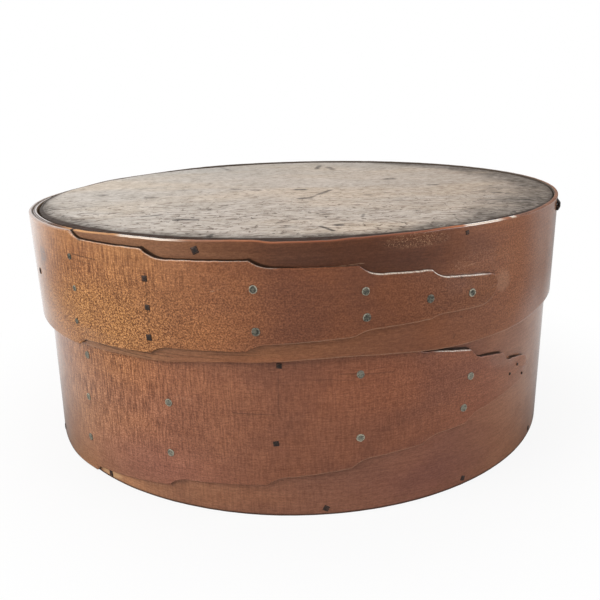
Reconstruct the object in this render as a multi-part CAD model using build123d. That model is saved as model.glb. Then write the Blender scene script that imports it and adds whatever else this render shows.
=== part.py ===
from build123d import *
import os
from math import cos, radians, sin

# Round bentwood cheese box: a base and a lift-off lid. Each is one thin strip of wood, wrapped once,
# lapped over its own inner end and tacked, round a solid board that is nailed in from the outside.
# The origin is the middle of the underside, +Z is up, and the laps face -Y.
# Angles run from -Y towards +X, in degrees.

# The bands
base_inner_radius = 145.8
base_band_thickness = 2.0
lid_band_thickness = 2.0
lap_seam = 0.2
lid_play = 0.6
box_height = 132.0
lid_band_height = 58.5
feather_edge = 0.5

# The boards
bottom_board_thickness = 8.0
lid_board_thickness = 8.0
rim_above_board = 0.8
board_gap = 0.4
board_edge_chamfer = 0.8
lid_seat_gap = 0.2

# The round tacks of the laps
tack_head_radius = 2.0
small_tack_head_radius = 1.5
tack_head_height = 0.4
head_rounding_share = 0.66
tack_shank_radius = 0.55
clinch_length = 3.0
clinch_width = 1.0
clinch_thickness = 0.35

# The square-headed iron tacks and the brads at the tip of the base's lap
iron_tack_head = 2.4
brad_head_radius = 0.8

# The nails that hold the boards
nail_head = 2.4
nail_head_height = 0.35
nail_shank_radius = 0.7
nail_depth_in_board = 14.0
proud_nail_standoff = 2.8

# Clearance of each hole round its shank, and the overrun of each cut
hole_clearance = 0.08
cut_overrun = 1.0

# Heights and radii that follow
lid_board_top = box_height - rim_above_board
lid_board_underside = lid_board_top - lid_board_thickness
base_band_height = lid_board_underside - lid_seat_gap
lid_band_foot = box_height - lid_band_height
base_outer_radius = base_inner_radius + base_band_thickness
base_lap_step = base_band_thickness + lap_seam
base_lap_radius = base_outer_radius + base_lap_step
lid_inner_radius = base_outer_radius + lid_play
lid_lap_step = lid_band_thickness + lap_seam
lid_bulged_inner_radius = lid_inner_radius + base_lap_step
lid_outer_radius = lid_inner_radius + lid_band_thickness
lid_bulged_outer_radius = lid_bulged_inner_radius + lid_band_thickness
lid_lap_radius = lid_bulged_outer_radius + lid_lap_step

# Where each lap starts and ends, in degrees
full_turn = 360.0
angle_overrun = 1.0
base_feather_angles = (-98.0, -84.0)
base_ramp_angles = (-106.0, -86.0)
base_lap_end = 54.0
lid_feather_angles = (-128.0, -114.0)
lid_ramp_angles = (-136.0, -116.0)
lid_bulge_angles = (-112.0, -92.0, 40.0, 56.0)
lid_lap_end = 38.0

# The stepped edges of the fingers: each run's start and end angle, with its height at each
# as a share of the band's height. Short ogee steps join one run to the next.
base_upper_start_angle = -45.5
base_upper_run_shares = (
    (-43.0, 0.959, -25.0, 0.919),
    (-20.0, 0.870, -6.0, 0.841),
    (-1.5, 0.789, 8.8, 0.760),
    (13.0, 0.699, 18.5, 0.683),
    (23.2, 0.620, 32.0, 0.587),
    (35.5, 0.543, 41.0, 0.525),
    (44.5, 0.480, 48.6, 0.466),
)
base_lower_start_angle = -45.5
base_lower_run_shares = (
    (-43.5, 0.039, -25.0, 0.084),
    (-20.0, 0.124, -6.0, 0.141),
    (-1.5, 0.173, 8.8, 0.198),
    (13.5, 0.234, 22.0, 0.248),
    (26.5, 0.278, 31.5, 0.283),
    (36.5, 0.322, 49.0, 0.359),
)
base_nose_share = (51.2, 0.409)
lid_upper_start_angle = -41.5
lid_upper_run_shares = (
    (-38.3, 0.911, -25.0, 0.906),
    (-20.5, 0.838, -7.0, 0.850),
    (-3.5, 0.797, 9.6, 0.790),
    (13.8, 0.723, 21.6, 0.711),
    (25.5, 0.641, 33.2, 0.607),
)
lid_lower_start_angle = -43.5
lid_lower_run_shares = (
    (-39.5, 0.077, -25.0, 0.103),
    (-20.5, 0.166, -8.0, 0.178),
    (-4.5, 0.231, 9.0, 0.270),
    (13.0, 0.318, 21.7, 0.335),
    (25.0, 0.362, 31.3, 0.361),
)
lid_nose_share = (35.5, 0.504)

# The lid band's hand-cut lower edge: across the box as a share of the lid's radius,
# and how far it rises there as a share of the band's height
lid_edge_shares = (
    (-1.05, 0.0), (-0.72, 0.006), (-0.45, 0.026), (-0.16, 0.080), (0.12, 0.108),
    (0.49, 0.067), (0.78, 0.078), (1.05, 0.085),
)

# Where the tacks sit: angle, and height as a share of the band's height
base_tack_shares = (
    (-46.0, 0.164), (-45.1, 0.354), (-43.8, 0.544), (-47.0, 0.734), (-47.4, 0.900),
    (-23.9, 0.232), (-23.4, 0.442), (-22.0, 0.652), (-21.6, 0.820),
    (10.2, 0.323), (10.2, 0.572), (30.6, 0.357), (31.9, 0.482),
)
base_iron_tack_shares = ((-4.2, 0.316), (-3.2, 0.619))
base_brad_shares = ((43.6, 0.419), (46.5, 0.441), (49.0, 0.384))
lid_small_tack_shares = ((-42.7, 0.219), (-42.0, 0.503), (-42.3, 0.759))
lid_tack_shares = (
    (-6.4, 0.338), (-6.5, 0.650), (10.7, 0.415), (10.5, 0.609), (21.3, 0.499), (29.4, 0.489),
)
lid_iron_tack_shares = ((-59.4, 0.494), (-24.8, 0.232), (-24.5, 0.468), (-24.5, 0.687))

# Where the nails sit: each one's angle, and its height as a share of the board's thickness
bottom_nail_shares = (
    (-41.3, 0.33), (4.2, 0.45), (32.2, 0.45), (58.8, 0.45), (84.0, 0.45), (110.0, 0.45),
    (136.0, 0.45), (162.0, 0.45), (188.0, 0.45), (214.0, 0.45), (238.0, 0.45),
)
bottom_lap_nail_shares = ((-66.0, 0.45),)
lid_bulge_nail_shares = ((-15.6, 0.45), (28.5, 0.66))
lid_nail_shares = ((97.0, 0.45), (128.0, 0.45), (160.0, 0.45), (192.0, 0.45), (216.0, 0.45))
proud_nail_shares = ((66.0, 0.45),)


def outward(angle):
    """The direction straight out from the axis at an angle from -Y."""
    return Vector(sin(radians(angle)), -cos(radians(angle)))


def on_circle(angle, radius):
    """The point of a circle round the axis at an angle from -Y."""
    return outward(angle) * radius


def along_circle(angle):
    """The direction of a circle round the axis at an angle from -Y."""
    return Vector(cos(radians(angle)), sin(radians(angle)))


def around(stations):
    """Edges through (angle, radius) stations: arcs where the radius holds, smooth ramps where it changes."""
    edges = []
    for (angle, radius), (next_angle, next_radius) in zip(stations, stations[1:]):
        start = on_circle(angle, radius)
        end = on_circle(next_angle, next_radius)
        if radius == next_radius:
            middle = on_circle((angle + next_angle) / 2, radius)
            edges.append(ThreePointArc(start, middle, end))
        else:
            sense = 1 if next_angle > angle else -1
            tangents = (sense * along_circle(angle), sense * along_circle(next_angle))
            edges.append(Spline(start, end, tangents=tangents))
    return edges


def strip_section(inner_side, outer_side, feather_angle):
    """The plan of a band: one strip, wrapped once and lapped over its own feathered inner end."""
    feather_tip, feather_root = inner_side[0], outer_side[-1]
    tip_point = on_circle(feather_tip[0], feather_tip[1] + feather_edge)
    edges = around(inner_side)
    edges.append(Line(on_circle(*inner_side[-1]), on_circle(*outer_side[0])))
    edges += around(outer_side)
    edges.append(Line(on_circle(feather_angle, feather_root[1]), tip_point))
    edges.append(Line(tip_point, on_circle(*feather_tip)))
    return make_face(edges)


def base_section():
    """The base band's plan, with a straight-walled inside under its lap."""
    tip, root = base_feather_angles
    ramp_start, ramp_end = (angle + full_turn for angle in base_ramp_angles)
    half_way = (ramp_start + root) / 2
    end = base_lap_end + full_turn
    inner_side = [
        (tip, base_inner_radius),
        (half_way, base_inner_radius),
        (ramp_start, base_inner_radius),
        (ramp_end, base_inner_radius + base_lap_step),
        (end, base_inner_radius + base_lap_step),
    ]
    outer_side = [
        (end, base_lap_radius),
        (ramp_end, base_lap_radius),
        (ramp_start, base_outer_radius),
        (half_way, base_outer_radius),
        (root, base_outer_radius),
    ]
    return strip_section(inner_side, outer_side, root)


def lid_inner_outline(gap):
    """Stations of the lid band's inner face once round, moved in by a gap."""
    rise_start, rise_end, fall_start, fall_end = lid_bulge_angles
    inner = lid_inner_radius - gap
    bulged = lid_bulged_inner_radius - gap
    return [
        (rise_start, inner),
        (rise_end, bulged),
        (fall_start, bulged),
        (fall_end, inner),
        ((fall_end + rise_start + full_turn) / 2, inner),
        (rise_start + full_turn, inner),
    ]


def lid_section():
    """The lid band's plan: it bulges over the base's lap, and its own lap lies on the bulge."""
    tip, root = lid_feather_angles
    ramp_start, ramp_end = (angle + full_turn for angle in lid_ramp_angles)
    rise_start, rise_end, fall_start, fall_end = lid_bulge_angles
    half_way = (ramp_start + fall_end) / 2
    end = lid_lap_end + full_turn
    inner_side = [
        (tip, lid_inner_radius),
        (rise_start, lid_inner_radius),
        (rise_end, lid_bulged_inner_radius),
        (fall_start, lid_bulged_inner_radius),
        (fall_end, lid_inner_radius),
        (half_way, lid_inner_radius),
        (ramp_start, lid_inner_radius),
        (ramp_end, lid_inner_radius + lid_lap_step),
        (rise_start + full_turn, lid_inner_radius + lid_lap_step),
        (rise_end + full_turn, lid_bulged_inner_radius + lid_lap_step),
        (end, lid_bulged_inner_radius + lid_lap_step),
    ]
    outer_side = [
        (end, lid_lap_radius),
        (rise_end + full_turn, lid_lap_radius),
        (rise_start + full_turn, lid_outer_radius + lid_lap_step),
        (ramp_end, lid_outer_radius + lid_lap_step),
        (ramp_start, lid_outer_radius),
        (half_way, lid_outer_radius),
        (fall_end, lid_outer_radius),
        (fall_start, lid_bulged_outer_radius),
        (rise_end, lid_bulged_outer_radius),
        (rise_start, lid_outer_radius),
        (root, lid_outer_radius),
    ]
    return strip_section(inner_side, outer_side, root)


def cell_plane(angle):
    """A plane through the axis whose X runs along the band, Y is up, and Z points out at an angle."""
    return Plane(origin=(0, 0, 0), x_dir=along_circle(angle), z_dir=outward(angle))


def ogee(start, end):
    """An S of two equal arcs that leaves and arrives level."""
    middle = (start + end) / 2
    first = TangentArc(start, middle, tangent=(1, 0))
    return [first, TangentArc(middle, end, tangent=first % 1)]


def edge_cutters(runs, start_angle, start_height, foot, height, radius, limit):
    """Prisms that take away what lies beyond one stepped edge of a finger, one for each step and run."""
    cutters = []
    last_angle, last_height = start_angle, start_height
    for run_start, start_share, run_end, end_share in runs:
        middle = (last_angle + run_end) / 2
        step_top = Vector(radius * sin(radians(last_angle - middle)), last_height)
        run_from = Vector(radius * sin(radians(run_start - middle)), foot + start_share * height)
        run_to = Vector(radius * sin(radians(run_end - middle)), foot + end_share * height)
        past_end = Vector(run_to.X + cut_overrun, run_to.Y)
        corners = [run_to, past_end, Vector(past_end.X, limit), Vector(step_top.X, limit), step_top]
        outline = ogee(step_top, run_from) + [Line(run_from, run_to)]
        outline += [Line(a, b) for a, b in zip(corners, corners[1:])]
        prism = extrude(cell_plane(middle) * make_face(outline), radius + cut_overrun)
        cutters.append(prism)
        last_angle, last_height = run_end, run_to.Y
    return cutters


def nose_cutter(upper_runs, lower_runs, nose_share, lap_end, foot, height, radius, top, bottom):
    """The prism that rounds off the tip of a finger and takes away the rest of the lap's outer layer."""
    upper_angle, upper_share = upper_runs[-1][2:]
    lower_angle, lower_share = lower_runs[-1][2:]
    nose_angle, nose_height_share = nose_share
    upper = Vector(radius * sin(radians(upper_angle - nose_angle)), foot + upper_share * height)
    lower = Vector(radius * sin(radians(lower_angle - nose_angle)), foot + lower_share * height)
    nose = Vector(0, foot + nose_height_share * height)
    far = radius * sin(radians(lap_end - nose_angle)) + cut_overrun
    corners = [
        upper,
        Vector(upper.X, top),
        Vector(far, top),
        Vector(far, bottom),
        Vector(lower.X, bottom),
        lower,
    ]
    outline = [Line(a, b) for a, b in zip(corners, corners[1:])]
    outline.append(ThreePointArc(lower, nose, upper))
    return extrude(cell_plane(nose_angle) * make_face(outline), radius + cut_overrun)


def outer_layer_zone(seam_radius, lap_radius, start_angle, end_angle, bottom, top):
    """The sector that holds a lap's outer layer alone, cut off in the middle of the seam."""
    inner = seam_radius - lap_seam / 2
    outer = lap_radius + cut_overrun
    edges = around([(start_angle, inner), (end_angle, inner)])
    edges.append(Line(on_circle(end_angle, inner), on_circle(end_angle, outer)))
    edges += around([(end_angle, outer), (start_angle, outer)])
    edges.append(Line(on_circle(start_angle, outer), on_circle(start_angle, inner)))
    return Pos(0, 0, bottom) * extrude(make_face(edges), top - bottom)


def on_band(angle, height, radius):
    """The place of a tack or nail: its own Z points out of the band, its Y is up."""
    place = on_circle(angle, radius)
    origin = (place.X, place.Y, height)
    return Plane(origin=origin, x_dir=along_circle(angle), z_dir=outward(angle)).location


def round_head(radius):
    """A round tack head, flat below, with its upper rim rounded off."""
    head = Pos(0, 0, tack_head_height / 2) * Cylinder(radius, tack_head_height)
    rim = head.faces().sort_by(Axis.Z)[-1].edges()
    return fillet(rim, tack_head_height * head_rounding_share)


def square_head(side, height):
    """A square head with its four upper edges bevelled."""
    lower = Plane.XY * Rectangle(side, side)
    upper = Plane.XY.offset(height) * Rectangle(side - height, side - height)
    return loft([lower, upper])


def down_from_face(radius, length):
    """A round shank from the face of the band inwards."""
    return Pos(0, 0, -length / 2) * Cylinder(radius, length)


def clinched_shank(radius, length):
    """A shank through both layers, with its point turned up flat against the inside."""
    tail_middle = (clinch_length - clinch_width) / 2
    tail = Box(clinch_width, clinch_length, clinch_thickness)
    placed = Pos(0, tail_middle, -length - clinch_thickness / 2) * tail
    return down_from_face(radius, length) + placed


def tack_group(shares, foot, height, radius, length, head):
    """Identical tacks, each a solid of its own, at their places on a band."""
    tack = head + clinched_shank(tack_shank_radius, length)
    return [on_band(angle, foot + share * height, radius) * tack for angle, share in shares]


def tack_holes(shares, foot, height, radius, length):
    """Holes for the shanks of a group of tacks, open at both faces."""
    hole = Pos(0, 0, cut_overrun) * down_from_face(
        tack_shank_radius + hole_clearance, length + 2 * cut_overrun
    )
    return [on_band(angle, foot + share * height, radius) * hole for angle, share in shares]


def nail(layers, standoff):
    """A square-headed nail through the band's layers and into the edge of a board."""
    head = square_head(nail_head, nail_head_height)
    shank_length = layers + board_gap + nail_depth_in_board + standoff
    return Pos(0, 0, standoff) * (head + down_from_face(nail_shank_radius, shank_length))


def nail_hole(layers):
    """The hole of one nail through the band and into the board."""
    depth = layers + board_gap + nail_depth_in_board + hole_clearance
    hole = down_from_face(nail_shank_radius + hole_clearance, depth + cut_overrun)
    return Pos(0, 0, cut_overrun) * hole


def nail_places(shares, board_foot, board_thickness, radius, layers):
    """Each nail's angle and height, the radius of the face its head sits on, and the wood it goes
    through."""
    return [(angle, board_foot + share * board_thickness, radius, layers) for angle, share in shares]


def bottom_nail_places():
    double = base_band_thickness + base_lap_step
    single = nail_places(
        bottom_nail_shares, 0, bottom_board_thickness, base_outer_radius, base_band_thickness)
    return single + nail_places(
        bottom_lap_nail_shares, 0, bottom_board_thickness, base_lap_radius, double)


def lid_nail_places():
    single = nail_places(
        lid_nail_shares, lid_board_underside, lid_board_thickness, lid_outer_radius, lid_band_thickness)
    return single + nail_places(
        lid_bulge_nail_shares, lid_board_underside, lid_board_thickness, lid_bulged_outer_radius,
        lid_band_thickness)


def proud_nail_places():
    return nail_places(
        proud_nail_shares, lid_board_underside, lid_board_thickness, lid_outer_radius, lid_band_thickness)


def nails(places, standoff):
    return [
        on_band(angle, height, radius) * nail(layers, standoff) for angle, height, radius, layers in places
    ]


def nail_holes(places):
    return [on_band(angle, height, radius) * nail_hole(layers) for angle, height, radius, layers in places]


def base_tack_length():
    return base_band_thickness + base_lap_step


def lid_tack_length():
    return lid_band_thickness + lid_lap_step


def base_band():
    band = extrude(base_section(), base_band_height)
    top = base_band_height + cut_overrun
    bottom = -cut_overrun
    cutters = edge_cutters(
        base_upper_run_shares, base_upper_start_angle, base_band_height, 0, base_band_height,
        base_lap_radius, top,
    )
    cutters += edge_cutters(
        base_lower_run_shares, base_lower_start_angle, 0, 0, base_band_height, base_lap_radius, bottom
    )
    cutters.append(nose_cutter(
        base_upper_run_shares, base_lower_run_shares, base_nose_share, base_lap_end, 0,
        base_band_height, base_lap_radius, top, bottom,
    ))
    zone = outer_layer_zone(
        base_inner_radius + base_lap_step, base_lap_radius, base_upper_start_angle,
        base_lap_end + angle_overrun, bottom, top,
    )
    for cutter in cutters:
        band -= cutter & zone
    for shares in (base_tack_shares, base_iron_tack_shares, base_brad_shares):
        band -= tack_holes(shares, 0, base_band_height, base_lap_radius, base_tack_length())
    return band - nail_holes(bottom_nail_places())


def lid_foot_cutter():
    """Everything under the lid band's hand-cut lower edge."""
    low = lid_band_foot - 2 * cut_overrun
    points = [
        Vector(across * lid_lap_radius, lid_band_foot + rise * lid_band_height)
        for across, rise in lid_edge_shares
    ]
    first, last = points[0], points[-1]
    outline = [
        Spline(*points, tangents=((1, 0), (1, 0))),
        Line(last, Vector(last.X, low)),
        Line(Vector(last.X, low), Vector(first.X, low)),
        Line(Vector(first.X, low), first),
    ]
    return extrude(Plane.XZ * make_face(outline), lid_lap_radius + cut_overrun, both=True)


def lid_band():
    foot = lid_band_foot - cut_overrun
    band = Pos(0, 0, foot) * extrude(lid_section(), box_height - foot)
    top = box_height + cut_overrun
    bottom = foot - cut_overrun
    cutters = edge_cutters(
        lid_upper_run_shares, lid_upper_start_angle, box_height, lid_band_foot, lid_band_height,
        lid_lap_radius, top,
    )
    cutters += edge_cutters(
        lid_lower_run_shares, lid_lower_start_angle, lid_band_foot, lid_band_foot, lid_band_height,
        lid_lap_radius, bottom,
    )
    cutters.append(nose_cutter(
        lid_upper_run_shares, lid_lower_run_shares, lid_nose_share, lid_lap_end, lid_band_foot,
        lid_band_height, lid_lap_radius, top, bottom,
    ))
    zone = outer_layer_zone(
        lid_bulged_inner_radius + lid_lap_step, lid_lap_radius, lid_lower_start_angle,
        lid_lap_end + angle_overrun, bottom, top,
    )
    for cutter in cutters:
        band -= cutter & zone
    band -= lid_foot_cutter()
    for shares in (lid_tack_shares, lid_small_tack_shares, lid_iron_tack_shares):
        band -= tack_holes(shares, lid_band_foot, lid_band_height, lid_lap_radius, lid_tack_length())
    return band - nail_holes(lid_nail_places() + proud_nail_places())


def bottom_board():
    """The round bottom, set inside the base band and level with its lower edge."""
    board = extrude(Circle(base_inner_radius - board_gap), bottom_board_thickness)
    return board - nail_holes(bottom_nail_places())


def lid_board():
    """The lid's board, cut to the inside of the lid band, with a worn upper edge."""
    board = Pos(0, 0, lid_board_underside) * extrude(
        make_face(around(lid_inner_outline(board_gap))), lid_board_thickness
    )
    upper_edges = board.faces().sort_by(Axis.Z)[-1].edges()
    board = chamfer(upper_edges, board_edge_chamfer)
    return board - nail_holes(lid_nail_places() + proud_nail_places())


def base_tacks(shares, head):
    return tack_group(shares, 0, base_band_height, base_lap_radius, base_tack_length(), head)


def lid_tacks(shares, head):
    return tack_group(
        shares, lid_band_foot, lid_band_height, lid_lap_radius, lid_tack_length(), head
    )


def iron_head():
    return square_head(iron_tack_head, nail_head_height)


parts = {
    "base_band": [base_band()],
    "bottom_board": [bottom_board()],
    "base_lap_tacks": base_tacks(base_tack_shares, round_head(tack_head_radius)),
    "base_lap_iron_tacks": base_tacks(base_iron_tack_shares, iron_head()),
    "base_lap_tip_brads": base_tacks(base_brad_shares, round_head(brad_head_radius)),
    "bottom_board_nails": nails(bottom_nail_places(), 0),
    "lid_band": [lid_band()],
    "lid_board": [lid_board()],
    "lid_lap_tacks": lid_tacks(lid_tack_shares, round_head(tack_head_radius)),
    "lid_lap_small_tacks": lid_tacks(lid_small_tack_shares, round_head(small_tack_head_radius)),
    "lid_lap_iron_tacks": lid_tacks(lid_iron_tack_shares, iron_head()),
    "lid_board_nails": nails(lid_nail_places(), 0),
    "lid_proud_nail": nails(proud_nail_places(), proud_nail_standoff),
}

os.makedirs("parts", exist_ok=True)
for name, solids in parts.items():
    export_step(Compound(children=[solid for group in solids for solid in group.solids()]),
                f"parts/{name}.step")
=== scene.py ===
from math import atan2, copysign, cos, degrees, hypot, pi, radians, sin, sqrt
import random

import bmesh
import bpy
from mathutils import Matrix, Vector, noise


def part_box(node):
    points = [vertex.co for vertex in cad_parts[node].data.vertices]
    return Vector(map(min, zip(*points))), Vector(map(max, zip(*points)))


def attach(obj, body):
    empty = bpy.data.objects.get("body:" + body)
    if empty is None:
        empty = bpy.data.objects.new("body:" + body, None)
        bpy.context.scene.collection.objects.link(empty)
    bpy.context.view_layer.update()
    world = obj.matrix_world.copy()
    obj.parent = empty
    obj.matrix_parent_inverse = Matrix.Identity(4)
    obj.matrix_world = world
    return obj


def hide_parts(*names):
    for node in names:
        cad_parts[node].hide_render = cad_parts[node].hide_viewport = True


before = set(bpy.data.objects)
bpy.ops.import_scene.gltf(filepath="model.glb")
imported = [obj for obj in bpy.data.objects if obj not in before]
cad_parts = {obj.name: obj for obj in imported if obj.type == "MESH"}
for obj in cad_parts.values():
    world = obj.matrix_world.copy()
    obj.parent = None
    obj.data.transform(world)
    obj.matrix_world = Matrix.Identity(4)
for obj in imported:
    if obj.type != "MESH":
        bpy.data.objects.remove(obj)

# A round bentwood cheese box: a base and a lift-off lid, each one strip of wood bent round a board.
# Angles run round the box in degrees, from -Y towards +X, so 0 is the front and 90 the right side.

bl_info = {
    "name": "Bentwood Cheese Box",
    "version": (1, 0, 0),
    "blender": (4, 5, 0),
    "location": "View3D > Sidebar > Cheese Box",
    "description": "Bends the lapped bands, turns the boards and sets the tacks of a round cheese box",
    "category": "Add Mesh",
}

MM = 0.001
TURN = 360.0

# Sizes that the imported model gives
BASE_LOW, BASE_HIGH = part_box("base_band")
LID_LOW, LID_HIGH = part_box("lid_band")
BOARD_LOW, BOARD_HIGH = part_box("lid_board")
BOTTOM_LOW, BOTTOM_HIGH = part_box("bottom_board")


# Properties

def length(name, description, millimetres):
    return bpy.props.FloatProperty(
        name=name, description=description, default=millimetres * MM, unit="LENGTH", subtype="DISTANCE")


def colour(name, description, default):
    return bpy.props.FloatVectorProperty(
        name=name, description=description, default=default, subtype="COLOR")


class BandSizes(bpy.types.PropertyGroup):
    """Sizes of the two bentwood strips."""
    thickness: length("Thickness", "Thickness of each strip", 2.0)
    seam: length("Lap seam", "Gap between the two layers of a lap", 0.2)
    feather: length("Feathered end", "Thickness left at the hidden inner end of a strip", 0.5)
    thinned: length("Finger thinning", "How much thinner a finger is shaved along its edges", 0.6)
    thinned_width: length("Shaved width", "How far in from its edges a finger is shaved", 8.0)
    waviness: length("Waviness", "Depth of the hand-planed unevenness of the bands", 0.16)
    edge_round: length("Edge rounding", "Radius of the worn edges of the strips", 0.35)
    rim_round: length("Rim rounding", "Radius of the lid's worn upper edge", 0.55)


class BoardSizes(bpy.types.PropertyGroup):
    """Sizes of the two round boards."""
    gap: length("Gap", "Gap between a board and the band round it", 0.4)
    worn_edge: length("Worn edge", "How far the lid's board falls away at its edge", 1.3)
    worn_width: length("Worn width", "How far in from the edge the board is worn down", 7.0)
    unevenness: length("Unevenness", "Depth of the hollows in the lid's board", 0.35)


class FastenerSizes(bpy.types.PropertyGroup):
    """Sizes of the tacks and nails."""
    tack_head: length("Tack head", "Radius of the round tack heads", 2.0)
    small_tack_head: length(
        "Small tack head", "Radius of the smaller tack heads at the lid finger's root", 1.5)
    tack_head_height: length("Tack head height", "How far a tack head stands on the wood", 0.4)
    brad_head: length("Brad head", "Radius of the brad heads at the tip of the base's finger", 0.8)
    nail_head: length("Nail head", "Side of the square iron heads", 2.4)
    nail_head_height: length("Nail head height", "How far a square head stands on the wood", 0.35)
    tack_shank: length("Tack shank", "Radius of the tack shanks", 0.55)
    nail_shank: length("Nail shank", "Radius of the nail shanks", 0.7)
    nail_length: length("Nail length", "Length of a nail under its head", 16.4)
    clinch_length: length("Clinched point", "Length of the tack's point turned over inside the band", 3.0)
    clinch_width: length("Clinch width", "Width of the clinched point", 1.0)
    clinch_thickness: length("Clinch thickness", "Thickness of the clinched point", 0.35)


class FinishColours(bpy.types.PropertyGroup):
    """Colours of the finishes that are the same on every piece."""
    # Rim highlight: a painted highlight on the glossy stretches of the lid's rim
    rim_highlight: colour("Polished edge", "Wood polished pale where hands lift the lid", (0.66, 0.52, 0.40))
    # Lower edge reflection: a painted reflection of the pale floor on the fingers' lower edges
    lower_edge_reflection: colour("Lit edge", "The lower edge of a finger where it is worn round", (0.46, 0.27, 0.165))
    # Edge highlight: a painted highlight along the fingers' upper edges
    edge_highlight: colour("Pale edge", "Wood rubbed pale along the fingers' edges", (0.72, 0.64, 0.54))
    # Grime and shade: dirt in cracks, and painted shade in the seams, under the fingers, along the base's
    # foot and round the lid's board
    grime_and_shade: colour("Grime", "Dark dirt in seams, pores and cracks", (0.035, 0.016, 0.009))
    bare_inside: colour("Bare inside", "Unfinished inside faces of the bands", (0.40, 0.26, 0.15))
    board_grey: colour("Board grey", "Weathered top of the lid's board", (0.49, 0.43, 0.375))
    board_tan: colour("Board tan", "Warmer, less weathered parts of the lid's board", (0.53, 0.44, 0.355))
    board_black: colour("Board black", "Blackened ring and cracks of the lid's board", (0.045, 0.036, 0.03))
    bare_pine: colour("Bare pine", "Unfinished faces of the boards inside the box", (0.44, 0.29, 0.165))
    tack_green: colour("Tack green", "Tarnished tack heads", (0.066, 0.063, 0.050))
    tack_bright: colour("Tack bright", "Rubbed rims of the tack heads", (0.46, 0.43, 0.33))
    iron_dark: colour("Iron dark", "Rusted iron nails", (0.035, 0.027, 0.025))
    iron_rust: colour("Iron rust", "Brown rust on the nails", (0.11, 0.055, 0.035))


class StudioSettings(bpy.types.PropertyGroup):
    """The camera, the lamps and the floor."""
    camera_place: bpy.props.FloatVectorProperty(
        name="Camera place", description="Where the camera stands",
        default=(3.96 * MM, -410.87 * MM, 187.48 * MM), unit="LENGTH", subtype="TRANSLATION")
    camera_turn: bpy.props.FloatVectorProperty(
        name="Camera turn", description="Pitch down, turn to the right and tilt of the camera",
        default=(0.3048, -0.0101, -0.0276), unit="ROTATION", subtype="EULER")
    camera_lens: bpy.props.FloatProperty(
        name="Camera lens", description="Focal length on a 36 mm sensor, in millimetres", default=39.855)
    key_power: bpy.props.FloatProperty(
        name="Key light", description="Power of the large soft light at the front left", default=15.0,
        unit="POWER")
    fill_power: bpy.props.FloatProperty(
        name="Fill light", description="Power of the soft light at the right", default=8.0, unit="POWER")
    top_power: bpy.props.FloatProperty(
        name="Top light", description="Power of the soft light above and behind", default=6.0, unit="POWER")
    surround: bpy.props.FloatProperty(
        name="Surround", description="Strength of the even light from all round", default=0.46)


# Shapes of the two bands
# A strip is described before it is bent. Runs of a finger's edges are (start angle, height share,
# end angle, height share); short scooped steps join one run to the next.

BASE_UPPER_RUN_SHARES = (
    (-43.0, 0.959, -25.0, 0.919),
    (-20.0, 0.870, -6.0, 0.841),
    (-1.5, 0.789, 8.8, 0.760),
    (13.0, 0.699, 18.5, 0.683),
    (23.2, 0.620, 32.0, 0.587),
    (35.5, 0.543, 41.0, 0.525),
    (44.5, 0.480, 48.6, 0.466),
)
BASE_LOWER_RUN_SHARES = (
    (-43.5, 0.039, -25.0, 0.084),
    (-20.0, 0.124, -6.0, 0.141),
    (-1.5, 0.173, 8.8, 0.198),
    (13.5, 0.234, 22.0, 0.248),
    (26.5, 0.278, 31.5, 0.283),
    (36.5, 0.322, 49.0, 0.359),
)
LID_UPPER_RUN_SHARES = (
    (-38.3, 0.911, -25.0, 0.906),
    (-20.5, 0.838, -7.0, 0.850),
    (-3.5, 0.797, 9.6, 0.790),
    (13.8, 0.723, 21.6, 0.711),
    (25.5, 0.641, 33.2, 0.607),
)
LID_LOWER_RUN_SHARES = (
    (-39.5, 0.077, -25.0, 0.103),
    (-20.5, 0.166, -8.0, 0.178),
    (-4.5, 0.231, 9.0, 0.270),
    (13.0, 0.318, 21.7, 0.335),
    (25.0, 0.362, 31.3, 0.361),
)
# The lid's hand-cut lower edge: across the box as a share of its radius, and the rise there
LID_EDGE_SHARES = (
    (-1.05, 0.0), (-0.72, 0.006), (-0.45, 0.026), (-0.16, 0.080), (0.12, 0.108),
    (0.49, 0.067), (0.78, 0.078), (1.05, 0.085),
)
# Width of the dark line painted in the seam over a finger's upper edge, dirt and painted shade, in
# millimetres, by angle
BASE_SEAM_WIDTHS = (
    (-45.0, 0.5), (19.0, 0.3), (21.0, 0.08), (24.0, 0.08), (27.5, 1.0), (31.0, 1.2), (33.0, 0.2),
    (35.5, 0.3), (37.5, 0.8), (40.0, 0.7), (41.5, 0.15), (43.8, 0.15), (46.0, 0.8), (48.5, 0.1),
)
LID_SEAM_WIDTHS = (
    (-43.0, 1.3), (-39.0, 0.5), (-26.0, 0.35), (-24.0, 1.2), (-21.0, 0.5), (-18.0, 0.35),
    (-8.0, 0.35), (-6.0, 1.2), (-3.5, 0.5), (-1.0, 0.3), (1.0, 0.05), (35.0, 0.05),
)
# Width of the painted shadow under a finger's lower edge
LOWER_SEAM_WIDTH = 0.45 * MM
# What a place away from the lap stores as its distance from a seam, in seam widths
HIDDEN_SEAM = 99.0
# How far the base's foot leans out, in millimetres, by angle, and the height where the lean ends
FOOT_LEAN = ((-140.0, 0.0), (-95.0, 2.7), (-60.0, 2.2), (-15.0, 0.2), (10.0, 0.0))
LEAN_TOP = 84.0 * MM
# How far the lid's upper edge is worn down, in millimetres, by angle
RIM_WEAR = (
    (-120.0, 1.6), (-100.0, 2.9), (-80.0, 2.4), (-60.0, 1.7), (-48.0, 1.8), (-40.0, 1.6), (-30.0, 0.9),
    (-20.0, 1.2), (-7.0, 0.7), (-3.5, 1.5), (5.0, 1.5), (9.0, 0.9), (18.0, 0.5), (26.0, 0.1),
    (38.0, 0.2), (55.0, 0.7), (110.0, 0.3), (150.0, 0.1), (200.0, 0.1), (240.0, 1.6),
)
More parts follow.
